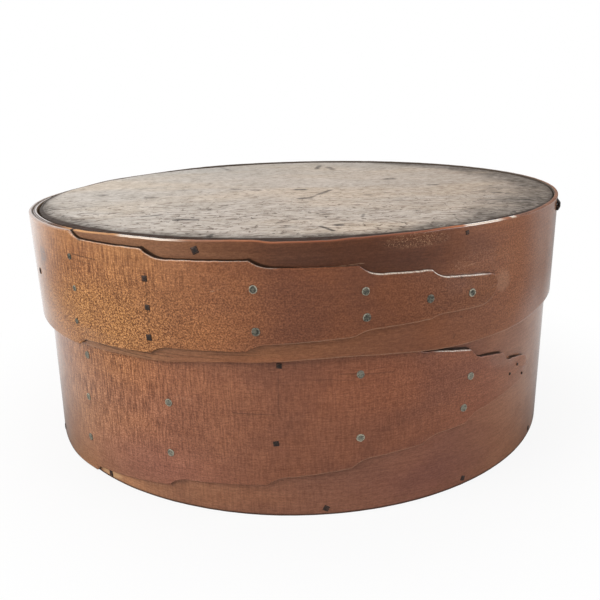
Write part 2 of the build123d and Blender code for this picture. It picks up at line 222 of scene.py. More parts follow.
# Rows of a strip: millimetres in from each edge, then even rows between the last two. Where a strip
# is narrower than the full height, the rows at its edges move together.
EDGE_ROWS = (0.0, 0.12, 0.35, 0.8, 1.6, 3.0, 5.0)
EVEN_ROWS = 26
FULL_ROW_HEIGHT = 30.0 * MM
# Columns of a strip: degrees between them on plain wood, under the lap and along the finger
COARSE_STEP = 1.5
UNDER_LAP_STEP = 0.5
FINE_STEP = 0.32
# Columns round the finger's nose, and how far to its very tip the last one goes
NOSE_COLUMNS = 12
NOSE_END_SHARE = 0.985
# How sharply a step is scooped out of the finger's edge
SCOOP_POWER = 2.5
# How much of the shaved-off wood an upper and a lower edge of a finger has sprung up by, at most
UPPER_LIFT = 0.72
LOWER_LIFT = 0.22
MOST_LIFT = 0.92
# How uneven the hand-cut edges are
FINGER_RAGGED = 0.18 * MM
LID_FOOT_RAGGED = 0.12 * MM
LID_RIM_RAGGED = 0.096 * MM
LID_RIM_NICKS = 0.06 * MM
BASE_FOOT_RAGGED = 0.06 * MM
BASE_RIM_RAGGED = 0.15 * MM
# How much of the base's foot is chipped away under the start of its finger
BASE_FOOT_CHIP = 1.3 * MM
# How far down the lid's rounded rim and the board's upper face count
RIM_DEPTH = 5 * MM
TOP_FACE_DEPTH = 4.5 * MM
# Points nearer together than this are one
MERGE_DISTANCE = 0.001 * MM


def smooth(share):
    """0 to 1 with level ends, held outside."""
    share = min(1.0, max(0.0, share))
    return share * share * (3 - 2 * share)


def between(value, low, high):
    """How far a value has come from low to high, smoothly, from 0 to 1."""
    return smooth((value - low) / (high - low))


def along_table(table, place):
    """A value read from (place, value) pairs, eased from each pair to the next."""
    if place <= table[0][0]:
        return table[0][1]
    for (start, low), (end, high) in zip(table, table[1:]):
        if place <= end:
            return low + (high - low) * smooth((place - start) / (end - start))
    return table[-1][1]


def wobble(along, across=0.0, seed=0.0):
    """Even, repeatable unevenness from -1 to 1."""
    return noise.noise(Vector((along, across, seed)))


def round_box(angle, radius, height):
    """The point at an angle, a radius and a height."""
    return Vector((radius * sin(radians(angle)), -radius * cos(radians(angle)), height))


class Strip:
    """One band while it is still flat: its outline, its thickness and how it will be bent."""

    def __init__(self, sizes, outer_radius, start, feather_root, changes, foot, top, finger, seams,
                 lean, seed):
        self.sizes = sizes
        self.inner_radius = outer_radius - sizes.thickness
        self.outer_radius = outer_radius
        self.start, self.feather_root = start, feather_root
        self.changes = changes
        self.foot, self.top = foot, top
        self.upper_start, self.upper, self.lower_start, self.lower, self.nose, self.span = finger
        self.root = TURN + max(self.upper_start, self.lower_start)
        self.end = TURN + self.nose[0]
        self.seams, self.lean_table = seams, lean
        self.seed = seed

    @property
    def lap_thickness(self):
        return 2 * self.sizes.thickness + self.sizes.seam

    def arc(self, angle):
        """Length along the flat strip at an angle."""
        return radians(angle) * self.outer_radius

    def angle(self, arc):
        return degrees(arc / self.outer_radius)

    def inner(self, angle):
        """Radius of the strip's inner face once it is bent."""
        step = self.sizes.thickness + self.sizes.seam
        return self.inner_radius + step * sum(
            sense * between(angle, low, high) for low, high, sense in self.changes)

    def finger_edge(self, angle, start_angle, start_share, runs):
        """Height share of one stepped edge of the finger, down to its nose."""
        last_angle, last = start_angle, start_share
        for run_start, share, run_end, end_share in runs:
            if angle < run_start:
                gone = max(0.0, (angle - last_angle) / (run_start - last_angle))
                return last + (share - last) * (1 - (1 - gone) ** SCOOP_POWER)
            if angle <= run_end:
                return share + (end_share - share) * (angle - run_start) / (run_end - run_start)
            last_angle, last = run_end, end_share
        nose_angle, nose_share = self.nose
        gone = min(1.0, (angle - last_angle) / (nose_angle - last_angle))
        return nose_share + (last - nose_share) * sqrt(1 - gone * gone)

    def edges(self, angle):
        """Heights of the strip's lower and upper edge at an angle."""
        low, high = self.foot(angle), self.top(angle)
        front = angle - TURN
        span_low, span_high = self.span
        ragged = FINGER_RAGGED * wobble(front * 0.9, self.seed)
        if front > self.upper_start:
            share = self.finger_edge(front, self.upper_start, 1.0, self.upper)
            ease = between(front, self.upper_start, self.upper_start + 3)
            high = min(high, span_low + (span_high - span_low) * share + ragged * ease)
        if front > self.lower_start:
            share = self.finger_edge(front, self.lower_start, 0.0, self.lower)
            ease = between(front, self.lower_start, self.lower_start + 3)
            low = max(low, span_low + (span_high - span_low) * share + ragged * ease)
        return low, high

    def stations(self):
        """Angles of the columns: close together along the finger, wide apart elsewhere."""
        fine_start = self.root - 14
        last_run = TURN + max(self.upper[-1][2], self.lower[-1][2])
        found = [self.start]
        while found[-1] < fine_start:
            under_lap = self.root - 3 < found[-1] + TURN < self.end + 2
            found.append(found[-1] + (UNDER_LAP_STEP if under_lap else COARSE_STEP))
        while found[-1] < last_run - FINE_STEP:
            found.append(found[-1] + FINE_STEP)
        nose = self.end - last_run
        found += [last_run + nose * sin(pi / 2 * k / NOSE_COLUMNS) * NOSE_END_SHARE
                  for k in range(NOSE_COLUMNS + 1)]
        return found

    def edge_distance(self, angle, height):
        """How far a point is from the outline, and whether the upper edge is nearer."""
        low, high = self.edges(angle)
        to_end = max(0.0, self.arc(self.end) - self.arc(angle))
        return max(0.0, min(height - low, high - height, to_end)), high - height < height - low

    def shaved(self, angle, distance):
        """How much of the thickness is shaved off near a finger's edges."""
        on_finger = between(angle, self.root - 4, self.root + 2)
        return self.sizes.thinned * (1 - smooth(distance / self.sizes.thinned_width)) * on_finger

    def thickness(self, angle, distance):
        """Thickness of the flat strip: feathered at its hidden end, shaved along the finger."""
        sizes = self.sizes
        feathered = sizes.feather + (sizes.thickness - sizes.feather) * min(
            1.0, max(0.0, (angle - self.start) / (self.feather_root - self.start)))
        return feathered - self.shaved(angle, distance)

    def lift(self, angle, distance, upper, height):
        """How far a finger's edge has sprung off the layer under it, within what was shaved off."""
        sprung = UPPER_LIFT if upper else LOWER_LIFT
        uneven = 0.45 + 0.55 * between(wobble(angle * 0.17, height * 25, self.seed), -0.35, 0.3)
        corner = max([0.0] + [
            1 - abs(angle - TURN - run[2] - 1.2) / 3.0 for run in (self.upper if upper else ())])
        return self.shaved(angle, distance) * min(MOST_LIFT, sprung * uneven + 0.5 * smooth(corner))

    def lean(self, angle, height):
        """How far the band leans out of round at a point of it."""
        front = (angle + 140) % TURN - 140
        return along_table(self.lean_table, front) * MM * max(0.0, 1 - height / LEAN_TOP)

    def lap_distance(self, angle, height):
        """How far a point under the lap is from the finger's upper and lower edge, in seam widths."""
        lapped = angle + TURN
        if lapped < self.root or lapped > self.end + 2:
            return HIDDEN_SEAM, HIDDEN_SEAM
        low, high = self.edges(min(lapped, self.end))
        beyond = max(0.0, self.arc(lapped) - self.arc(self.end))
        above = copysign(hypot(height - high, beyond), height - high)
        below = copysign(hypot(low - height, beyond), low - height)
        return above / (along_table(self.seams, angle) * MM), below / LOWER_SEAM_WIDTH

    def outer_face(self, angle, height):
        """Radius of the strip's outer face at a point of it."""
        distance, upper = self.edge_distance(angle, height)
        thick = self.thickness(angle, distance)
        return self.middle_face(angle, height, distance, upper) + thick

    def middle_face(self, angle, height, distance, upper):
        """Radius of the strip's inner face at a point of it, uneven as it was planed by hand."""
        turn = radians(angle)
        planed = self.sizes.waviness * 0.5 * (1 + wobble(3 * sin(turn), 3 * cos(turn), height * 14))
        sprung = self.lift(angle, distance, upper, height) - planed
        return self.inner(angle) + self.lean(angle, height) + sprung

    def top_layer(self, angle, height):
        """The strip angle of the outermost layer over a place on the box."""
        lapped = angle + TURN
        if lapped < self.end:
            low, high = self.edges(lapped)
            if low < height < high:
                return lapped
        return angle


def lid_foot(angle):
    """Height of the lid's hand-cut lower edge."""
    share = along_table(LID_EDGE_SHARES, sin(radians(angle)))
    ragged = LID_FOOT_RAGGED * (1 + wobble(angle * 0.35, -LID_LOW.y))
    return LID_LOW.z + share * (LID_HIGH.z - LID_LOW.z) + ragged


def lid_rim(angle):
    """Height of the lid's upper edge, with its wear and small nicks."""
    front = (angle + 120) % TURN - 120
    worn = along_table(RIM_WEAR, front) * MM
    ragged = LID_RIM_RAGGED * (1 + wobble(front * 0.45, 3.1))
    nicks = LID_RIM_NICKS * (1 + wobble(front * 1.7, 9.2))
    return LID_HIGH.z - worn - ragged - nicks


def base_foot(angle):
    """Height of the base's lower edge, chipped away where the finger starts."""
    chipped = BASE_FOOT_CHIP * between(angle - TURN, -58.0, -46.5)
    return BASE_LOW.z + BASE_FOOT_RAGGED * (1 + wobble(angle * 0.6, 5.5)) + chipped


def base_rim(angle):
    return BASE_HIGH.z - BASE_RIM_RAGGED * (1 + wobble(angle * 0.4, 7.5))


def base_strip(sizes):
    finger = (-45.5, BASE_UPPER_RUN_SHARES, -45.5, BASE_LOWER_RUN_SHARES, (51.2, 0.409),
              (BASE_LOW.z, BASE_HIGH.z))
    return Strip(sizes, BASE_HIGH.x, -98.0, -84.0, ((254.0, 274.0, 1),), base_foot, base_rim, finger,
                 BASE_SEAM_WIDTHS, FOOT_LEAN, 1.7)


def lid_strip(sizes):
    finger = (-42.8, LID_UPPER_RUN_SHARES, -43.5, LID_LOWER_RUN_SHARES, (35.5, 0.504),
              (LID_LOW.z, LID_HIGH.z))
    changes = ((-112.0, -92.0, 1), (40.0, 56.0, -1), (224.0, 244.0, 1), (248.0, 268.0, 1))
    return Strip(sizes, LID_HIGH.x, -128.0, -114.0, changes, lid_foot, lid_rim, finger,
                 LID_SEAM_WIDTHS, ((0.0, 0.0),), 4.3)


def row_shares(low, high):
    """Heights of a column's rows as shares of its height: close together at both edges."""
    height = high - low
    squeeze = min(1.0, height / FULL_ROW_HEIGHT)
    near = [row * MM * squeeze / height for row in EDGE_ROWS]
    inside = 1 - 2 * near[-1]
    middle = [near[-1] + inside * k / EVEN_ROWS for k in range(1, EVEN_ROWS)]
    return near + middle + [1 - share for share in reversed(near)]


def rounded_off(distance, radius):
    """How far a rounded edge has fallen away at a distance in from the outline."""
    if distance >= radius:
        return 0.0
    return radius - sqrt(radius * radius - (radius - distance) ** 2)


def bent_band(name, strip):
    """Cuts a strip flat, gives it its thickness and its worn edges, and bends it round."""
    sizes = strip.sizes
    stations = strip.stations()
    columns = len(stations) - 1
    rows = 2 * len(EDGE_ROWS) + EVEN_ROWS - 2
    bm = bmesh.new()
    bmesh.ops.create_grid(bm, x_segments=columns, y_segments=rows, size=0.5)
    shares = [row_shares(*strip.edges(angle)) for angle in stations]
    for vert in bm.verts:
        column = round((vert.co.x + 0.5) * columns)
        row = round((vert.co.y + 0.5) * rows)
        low, high = strip.edges(stations[column])
        height = low + (high - low) * shares[column][row]
        vert.co = Vector((strip.arc(stations[column]), height, 0))
    bmesh.ops.solidify(bm, geom=bm.faces[:], thickness=sizes.thickness)
    place = bm.verts.layers.float_vector.new("strip")
    wear = bm.verts.layers.float.new("edge")
    above = bm.verts.layers.float.new("upper")
    lap = bm.verts.layers.float_vector.new("lap")
    for face in bm.faces:
        inside = all(v.co.z < -sizes.thickness / 2 for v in face.verts)
        face.material_index = 1 if inside else 0
        face.smooth = True
    for vert in bm.verts:
        arc, height, depth = vert.co
        angle = strip.angle(arc)
        edge, upper = strip.edge_distance(angle, height)
        outer = depth > -sizes.thickness / 2
        at_rim = upper and height > LID_HIGH.z - RIM_DEPTH
        radius = sizes.rim_round if at_rim else sizes.edge_round
        thick = strip.thickness(angle, edge)
        fall = min(rounded_off(edge, radius if outer else radius * 0.5), thick * 0.42)
        out = strip.middle_face(angle, height, edge, upper) + (thick - fall if outer else fall)
        vert[place] = Vector((arc, 1.0 if outer else 0.0, height))
        vert[wear] = edge
        vert[above] = 1.0 if upper else 0.0
        vert[lap] = Vector((*strip.lap_distance(angle, height), 0))
        vert.co = round_box(angle, out, height)
    bmesh.ops.recalc_face_normals(bm, faces=bm.faces[:])
    return finished(name, bm)


def finished(name, bm):
    """Turns a bmesh into a piece of the scene."""
    mesh = bpy.data.meshes.new(name)
    bm.to_mesh(mesh)
    bm.free()
    piece = bpy.data.objects.new(name, mesh)
    bpy.context.scene.collection.objects.link(piece)
    return piece


def dress(piece, materials, body, slot, *nodes):
    """Gives a piece its materials and seats it on its body, in place of its solids."""
    for material in materials:
        piece.data.materials.append(material)
    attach(piece, body)
    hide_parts(*nodes)


# Boards

def turned_board(name, profile, steps, reshape):
    """Spins a profile into a board, then moves its points to the board's real outline and wear."""
    bm = bmesh.new()
    verts = [bm.verts.new((across, 0, height)) for across, height in profile]
    edges = [bm.edges.new(pair) for pair in zip(verts, verts[1:])]
    bmesh.ops.spin(
        bm, geom=verts + edges, cent=(0, 0, 0), axis=(0, 0, 1), angle=2 * pi, steps=steps,
        use_merge=True, use_duplicate=False)
    bmesh.ops.remove_doubles(bm, verts=bm.verts[:], dist=MERGE_DISTANCE)
    top = max(height for _, height in profile)
    for face in bm.faces:
        face.smooth = True
        face.material_index = 0 if face.calc_center_median().z > top - TOP_FACE_DEPTH else 1
    for vert in bm.verts:
        vert.co = reshape(vert.co)
    bmesh.ops.recalc_face_normals(bm, faces=bm.faces[:])
    return finished(name, bm)


def board_profile(radius, low, high, rounding):
    """Half the section of a board, from the middle of its top round to the middle of its underside."""
    inner = [radius * share for share in (0, 0.02, 0.06)]
    inner += [radius * (0.06 + 0.86 * k / 52) for k in range(1, 53)]
    near_edge = [radius * 0.92 + (radius * 0.08 - rounding) * k / 14 for k in range(1, 15)]
    top = [(across, high) for across in inner + near_edge]
    corner = [
        (radius - rounding + rounding * sin(turn), high - rounding + rounding * cos(turn))
        for turn in (pi / 8, pi / 4, 3 * pi / 8, pi / 2)]
    side = [(radius, high - rounding - (high - low - 2 * rounding) * k / 3) for k in (1, 2)]
    lower = [
        (radius - rounding + rounding * cos(turn), low + rounding - rounding * sin(turn))
        for turn in (0, pi / 4, pi / 2)]
    under = [(radius * share, low) for share in (0.97, 0.8, 0.6, 0.4, 0.2, 0.05, 0)]
    return top + corner + side + lower + under


# Fasteners

# Edges that turn by more than this stay crisp
CRISP_ANGLE = radians(50)
# Points of a head this near to its greatest radius are its top
HEAD_TOP_DEPTH = 0.06 * MM
# Share of a head's height that is sunk in the wood
SUNK_SHARE = 0.5
SHANK_SIDES = 10


def fastener_places(node):
    """Where each tack or nail of a node sits, as its angle and its height. They are in order of
    angle, to the 0.1 degrees that they are set out by, and from below in a column."""
    bm = bmesh.new()
    bm.from_mesh(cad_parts[node].data)
    bmesh.ops.remove_doubles(bm, verts=bm.verts[:], dist=MERGE_DISTANCE)
    left, places = set(bm.verts), []
    while left:
        reached = [left.pop()]
        for vert in reached:
            for edge in vert.link_edges:
                other = edge.other_vert(vert)
                if other in left:
                    left.discard(other)
                    reached.append(other)
        reach = max(hypot(v.co.x, v.co.y) for v in reached)
        top = [v.co for v in reached if hypot(v.co.x, v.co.y) > reach - HEAD_TOP_DEPTH]
        middle = sum(top, Vector()) / len(top)
        places.append((degrees(atan2(middle.x, -middle.y)), middle.z))
    bm.free()
    return sorted(places, key=lambda place: (round(place[0], 1), place[1]))


def facing_out(angle, radius, height, turn):
    """A frame on the band: Z points out of it and Y is up, then turned about Z."""
    out = round_box(angle, 1, 0)
    along = Vector((cos(radians(angle)), sin(radians(angle)), 0))
    matrix = Matrix((along, Vector((0, 0, 1)), out)).transposed().to_4x4()
    matrix.translation = round_box(angle, radius, height)
    return matrix @ Matrix.Rotation(turn, 4, "Z")


def add_cone(bm, sides, low_radius, high_radius, depth):
    """A closed cone about Z, half above and half below the wood, and its points."""
    return bmesh.ops.create_cone(
        bm, cap_ends=True, cap_tris=False, segments=sides, radius1=low_radius, radius2=high_radius,
        depth=depth)["verts"]


def round_edges(bm, edges, offset):
    bmesh.ops.bevel(bm, geom=edges, offset=offset, affect="EDGES", segments=2, profile=0.5, material=-1)


def add_round_head(bm, radius, height, dice):
    """A hand-made round head: a low disc with an uneven outline and a rounded, dented top."""
    sunk = height * SUNK_SHARE
    verts = add_cone(bm, 16, radius, radius * 0.93, height + sunk)
    bmesh.ops.translate(bm, verts=verts, vec=(0, 0, (height - sunk) / 2))
    stretch = 1 + dice.uniform(-0.1, 0.04)
    for vert in verts:
        turn = atan2(vert.co.y, vert.co.x)
        uneven = 1 - 0.16 * abs(wobble(cos(turn) * 1.5, sin(turn) * 1.5, dice.seed_value))
        vert.co.x *= uneven * stretch
        vert.co.y *= uneven
    upper = [e for e in bm.edges if all(v in verts and v.co.z > height * 0.9 for v in e.verts)]
    round_edges(bm, upper, height * 0.45)
    cap = [f for f in bm.faces if len(f.verts) > 8 and f.calc_center_median().z > height * 0.9]
    for thickness, sink in ((radius * 0.22, 0.14), (radius * 0.25, 0.22)):
        bmesh.ops.inset_individual(bm, faces=cap, thickness=thickness, depth=0)
        for vert in cap[0].verts:
            dent = 1 + wobble(vert.co.x * 1100, vert.co.y * 1100, dice.seed_value)
            vert.co.z -= height * sink * dent
    note_wear(bm, radius)


def note_wear(bm, radius):
    """Stores how near each point of a head is to its rim, for the tarnish; hidden points get 2."""
    worn = bm.verts.layers.float.new("worn")
    for vert in bm.verts:
        vert[worn] = hypot(vert.co.x, vert.co.y) / radius if vert.co.z > 0.1 * MM else 2.0


def add_square_head(bm, side, height, dice):
    """A square iron head, hammered to a low point of four faces."""
    sunk = height * SUNK_SHARE
    verts = add_cone(bm, 4, side * 0.70, side * 0.70, sunk * 2)
    bmesh.ops.rotate(bm, verts=verts, cent=(0, 0, 0), matrix=Matrix.Rotation(pi / 4, 3, "Z"))
    cap = [f for f in bm.faces if f.calc_center_median().z > sunk * 0.9]
    bmesh.ops.inset_individual(bm, faces=cap, thickness=side * 0.3, depth=height - sunk)
    swell = dice.uniform(1.0, 1.3)
    for vert in bm.verts:
        vert.co.x *= swell * (1 + dice.uniform(-0.08, 0.08))
        vert.co.y *= swell * (1 + dice.uniform(-0.08, 0.08))
    round_edges(bm, bm.edges[:], height * 0.22)
    note_wear(bm, side * 0.6)


def add_shank(bm, radius, length):
    verts = add_cone(bm, SHANK_SIDES, radius, radius, length)
    bmesh.ops.translate(bm, verts=verts, vec=(0, 0, -length / 2))


def add_clinch(bm, depth, sizes):
    """The tack's point, turned over and hammered flat inside the band."""
    verts = bmesh.ops.create_cube(bm, size=1)["verts"]
    thick = sizes.clinch_thickness
    bmesh.ops.scale(bm, verts=verts, vec=(sizes.clinch_width, sizes.clinch_length, thick))
    lift = (sizes.clinch_length - sizes.clinch_width) / 2
    bmesh.ops.translate(bm, verts=verts, vec=(0, lift, -depth - thick / 2))
    for vert in verts:
        if vert.co.y > lift:
            vert.co.x *= 0.3
    round_edges(bm, [e for e in bm.edges if all(v in verts for v in e.verts)], thick * 0.3)


class Dice(random.Random):
    """Seeded chance, with a steady number for patterns."""

    def __init__(self, seed):
        super().__init__(seed)
        self.seed_value = seed * 1.37


def fasteners(name, node, strip, seed, build):
    """One piece that holds every tack or nail of a node, each seated on the band it was driven
    through."""
    whole = bmesh.new()
    for count, (angle, height) in enumerate(fastener_places(node)):
        dice = Dice(seed + count)
        single = bmesh.new()
        turn = build(single, dice)
        bmesh.ops.recalc_face_normals(single, faces=single.faces[:])
        seat = strip.outer_face(strip.top_layer(angle, height), height)
        bmesh.ops.transform(single, matrix=facing_out(angle, seat, height, turn), verts=single.verts[:])
        part = bpy.data.meshes.new("part")
        single.to_mesh(part)
        single.free()
        whole.from_mesh(part)
        bpy.data.meshes.remove(part)
    for face in whole.faces:
        face.smooth = True
    for edge in whole.edges:
        edge.smooth = edge.calc_face_angle(0) < CRISP_ANGLE
    return finished(name, whole)


def round_tack(sizes, radius, length):
    def build(bm, dice):
        add_round_head(bm, radius, sizes.tack_head_height, dice)
        add_shank(bm, sizes.tack_shank, length)
        add_clinch(bm, length, sizes)
        return 0.0
    return build


def iron_tack(sizes, length):
    def build(bm, dice):
        add_square_head(bm, sizes.nail_head, sizes.nail_head_height, dice)
        add_shank(bm, sizes.tack_shank, length)
        add_clinch(bm, length, sizes)
        return dice.uniform(-0.12, 0.12)
    return build


def square_nail(sizes, *forged):
    """Nails with square heads. Forged gives a factor for each head in turn, from the back to the left
    and on round the front; the heads past the last factor are of plain size."""
    factors = iter(forged)

    def build(bm, dice):
        factor = next(factors, 1.0)
        add_square_head(bm, sizes.nail_head * factor, sizes.nail_head_height * factor, dice)
        add_shank(bm, sizes.nail_shank, sizes.nail_length)
        return dice.uniform(-0.5, 0.5)
    return build


def standing_nail(sizes, out):
    """The nail that has worked its way out: a lumpy forged head, bent down on its shank."""
    def build(bm, dice):
        lump = sizes.nail_head * 0.8
        add_cone(bm, 7, lump * 0.9, lump * 0.8, lump)
        round_edges(bm, bm.edges[:], lump * 0.2)
        for vert in bm.verts:
            vert.co *= 1 + 0.22 * wobble(vert.co.x * 900, vert.co.y * 900, vert.co.z * 900)
        bmesh.ops.rotate(bm, verts=bm.verts[:], cent=(0, 0, 0), matrix=Matrix.Rotation(0.4, 3, "X"))
        bmesh.ops.translate(bm, verts=bm.verts[:], vec=(0, -lump * 0.8, out - lump * 0.9))
        note_wear(bm, lump)
        verts = add_cone(bm, SHANK_SIDES, sizes.nail_shank * 2.3, sizes.nail_shank * 2.0, out)
        bmesh.ops.translate(bm, verts=verts, vec=(0, 0, out / 2 - 0.5 * MM))
        for vert in verts:
            vert.co.y += 2.6 * MM - max(0.0, vert.co.z) * 1.5
        add_shank(bm, sizes.nail_shank, sizes.nail_length - out)
        return 0.0
    return build


# Material helpers

class Value:
    """An output of a shader node. Sums with it add Math nodes to its tree."""

    def __init__(self, socket):
        self.socket = socket
        self.tree = socket.id_data

    def __add__(self, other):
        return sums("ADD", self, other)

    def __radd__(self, other):
        return sums("ADD", other, self)

    def __sub__(self, other):
        return sums("SUBTRACT", self, other)

    def __rsub__(self, other):
        return sums("SUBTRACT", other, self)

    def __mul__(self, other):
        return sums("MULTIPLY", self, other)

    def __rmul__(self, other):
        return sums("MULTIPLY", other, self)

    def __truediv__(self, other):
        return sums("DIVIDE", self, other)


def feed(socket, value):
    """Links a value to a socket, or sets the socket's own value. A colour gets its alpha here."""
    if isinstance(value, Value):
        value.tree.links.new(value.socket, socket)
    elif socket.type == "RGBA":
        socket.default_value = (*value, 1.0)
    else:
        socket.default_value = value


def fill(node, values):
    """Fills or links several inputs of a node."""
    for socket, value in values.items():
        feed(node.inputs[socket], value)


def put(tree, kind, values=None, **settings):
    """Adds a node, makes its own settings, and fills or links its inputs."""
    node = tree.nodes.new(kind)
    for name, setting in settings.items():
        setattr(node, name, setting)
    fill(node, values or {})
    return node


def tree_of(values):
    """The tree that the linked ones of these values are in."""
    return next(value.tree for value in values.values() if isinstance(value, Value))


def made(kind, values, output=0, **settings):
    """Adds a node to the tree that its inputs come from, and gives one of its outputs."""
    return Value(put(tree_of(values), kind, values, **settings).outputs[output])


def outputs_of(node):
    return {socket.name: Value(socket) for socket in node.outputs}


def sums(operation, first, second=0.0):
    """One Math node."""
    return made("ShaderNodeMath", {0: first, 1: second}, operation=operation)


def most(first, second):
    return sums("MAXIMUM", first, second)


def vectors(operation, first, second=(0, 0, 0), output=0):
    """One Vector Math node."""
    return made("ShaderNodeVectorMath", {0: first, 1: second}, output, operation=operation)


def scaled(vector, factors):
    """A vector with its parts multiplied."""
    return vectors("MULTIPLY", vector, factors)


def moved(vector, offset):
    return vectors("ADD", vector, offset)


def length_of(vector):
    return vectors("LENGTH", vector, output="Value")


def parts_of(vector):
    """The X, Y and Z of a vector."""
    return [Value(socket) for socket in put(vector.tree, "ShaderNodeSeparateXYZ", {0: vector}).outputs]


def joined(x, y, z):
    return made("ShaderNodeCombineXYZ", {"X": x, "Y": y, "Z": z})


def fine_noise(vector, detail=4.0, roughness=0.55, distortion=0.0):
    values = {"Vector": vector, "Scale": 1.0, "Detail": detail, "Roughness": roughness,
              "Distortion": distortion}
    return made("ShaderNodeTexNoise", values, "Fac")


def window(value, low, high, low_out=0.0, high_out=1.0, kind="SMOOTHSTEP"):
    """Maps a range of values to another, eased and held outside."""
    values = {"Value": value, "From Min": low, "From Max": high, "To Min": low_out, "To Max": high_out}
    return made("ShaderNodeMapRange", values, "Result", interpolation_type=kind)


def mixed(share, first, second, kind="MIX"):
    """Two colours mixed."""
    return made("ShaderNodeMix", {0: share, 6: first, 7: second}, 2, data_type="RGBA", blend_type=kind,
                clamp_factor=True)


def multiplied(share, shade, tint):
    """A colour multiplied by another, by a share."""
    return mixed(share, shade, mixed(1.0, shade, tint, "MULTIPLY"))


def tinted(share, tone, dark, light):
    """A tone that swings between a lighter and a darker version of itself."""
    return mixed(share, mixed(1.0, tone, light, "MULTIPLY"), mixed(1.0, tone, dark, "MULTIPLY"))


def dimmed(shade, factor):
    return [factor * part for part in shade]


def ramp(share, stops):
    """A colour ramp with a stop for each (share, colour)."""
    node = put(share.tree, "ShaderNodeValToRGB", {"Fac": share})
    elements = node.color_ramp.elements
    while len(elements) < len(stops):
        elements.new(0.5)
    for element, (place, shade) in zip(elements, stops):
        element.position = place
        element.color = (*shade, 1.0)
    return Value(node.outputs["Color"])


def bump(height, strength, distance):
    values = {"Height": height, "Strength": strength, "Distance": distance}
    return made("ShaderNodeBump", values, "Normal")


def object_place(tree):
    return Value(put(tree, "ShaderNodeTexCoord").outputs["Object"])


def attribute(tree, key, output="Fac"):
    """What the mesh stores under a name."""
    return Value(put(tree, "ShaderNodeAttribute", attribute_name=key).outputs[output])


def new_material(name):
    material = bpy.data.materials.new(name)
    material.use_nodes = True
    tree = material.node_tree
    return material, tree, tree.nodes["Principled BSDF"]


def new_group(name, inputs, outputs):
    """An empty shader group with named sockets: its inputs' values, and where its outputs go."""
    group = bpy.data.node_groups.new(name, "ShaderNodeTree")
    for socket, kind in inputs:
        group.interface.new_socket(name=socket, in_out="INPUT", socket_type=kind)
    for socket, kind in outputs:
        group.interface.new_socket(name=socket, in_out="OUTPUT", socket_type=kind)
    return outputs_of(group.nodes.new("NodeGroupInput")), group.nodes.new("NodeGroupOutput")


def place_group(name, values):
    """Places a shared group and gives its outputs by name."""
    return outputs_of(
        put(tree_of(values), "ShaderNodeGroup", values, node_tree=bpy.data.node_groups[name]))


FLOAT, VECTOR = "NodeSocketFloat", "NodeSocketVector"
# Patterns of the wood: scale per metre along, through and across the grain, detail, roughness,
# distortion, and the part of the noise that shows
FIGURE = {
    "Grain": ((60, 1, 800), 4.0, 0.6, 0.4, 0.36, 0.66),
    "Fine grain": ((420, 1, 1500), 3.0, 0.6, 0.0, 0.36, 0.66),
    "Speckle": ((1300, 1, 1300), 2.0, 0.6, 0.0, 0.38, 0.62),
    "Striae": ((1050, 1, 110), 3.0, 0.65, 0.2, 0.39, 0.63),
    "Flecks": ((1350, 1, 1450), 2.0, 0.6, 0.9, 0.43, 0.57),
    "Blotches": ((30, 1, 42), 4.0, 0.55, 0.5, 0.34, 0.68),
    "Scratches": ((30, 1, 1500), 2.0, 0.5, 0.0, 0.64, 0.72),
    "Scuffs": ((620, 1, 900), 3.0, 0.7, 3.0, 0.56, 0.61),
}


def make_wood_figure():
    """Figure of wood, shared by every wooden face. Place is in metres, with X along the grain and
    Z across it."""
    given, result = new_group("Wood figure", [("Place", VECTOR)], [(name, FLOAT) for name in FIGURE])
    for name, (scale, detail, roughness, distortion, low, high) in FIGURE.items():
        pattern = fine_noise(scaled(given["Place"], scale), detail, roughness, distortion)
        fill(result, {name: window(pattern, low, high)})


def make_soft_patch():
    """A mask that fades out evenly round a place, for stains and changes of tone."""
    given, result = new_group(
        "Soft patch", [("Place", VECTOR), ("Middle", VECTOR), ("Reach", VECTOR)], [("Mask", FLOAT)])
    apart = vectors("SUBTRACT", given["Place"], given["Middle"])
    away = length_of(vectors("DIVIDE", apart, given["Reach"]))
    fill(result, {"Mask": window(away, 0.15, 1.0, 1.0, 0.0)})


LINE_EDGE_SLOPE = 1.5


def make_line_mark():
    """A mask of one short line between two points: a scratch, a crack or a stain. It holds its
    numbers with plain nodes, because clamped ones fill up the shader's store where many lines meet."""
    given, result = new_group(
        "Line mark", [("Place", VECTOR), ("Start", VECTOR), ("End", VECTOR), ("Width", FLOAT)],
        [("Mask", FLOAT)])

    def held(value):
        return most(sums("MINIMUM", value, 1.0), 0.0)

    from_start = vectors("SUBTRACT", given["Place"], given["Start"])
    whole = vectors("SUBTRACT", given["End"], given["Start"])
    along = vectors("DOT_PRODUCT", from_start, whole, "Value")
    share = held(along / vectors("DOT_PRODUCT", whole, whole, "Value"))
    nearest = made("ShaderNodeVectorMath", {0: whole, "Scale": share}, operation="SCALE")
    distance = length_of(vectors("SUBTRACT", from_start, nearest))
    fill(result, {"Mask": held((1 - distance / given["Width"]) * LINE_EDGE_SLOPE)})


def make_tarnish():
    """Uneven tarnish and pits, shared by the tacks and the nails."""
    given, result = new_group("Tarnish", [("Place", VECTOR)], [("Tarnish", FLOAT), ("Pits", FLOAT)])
    coarse = fine_noise(scaled(given["Place"], (700, 700, 700)), 4.0, 0.6)
    pits = fine_noise(scaled(given["Place"], (1900, 1900, 1900)), 3.0, 0.6)
    fill(result, {"Tarnish": window(coarse, 0.38, 0.62), "Pits": window(pits, 0.52, 0.62)})


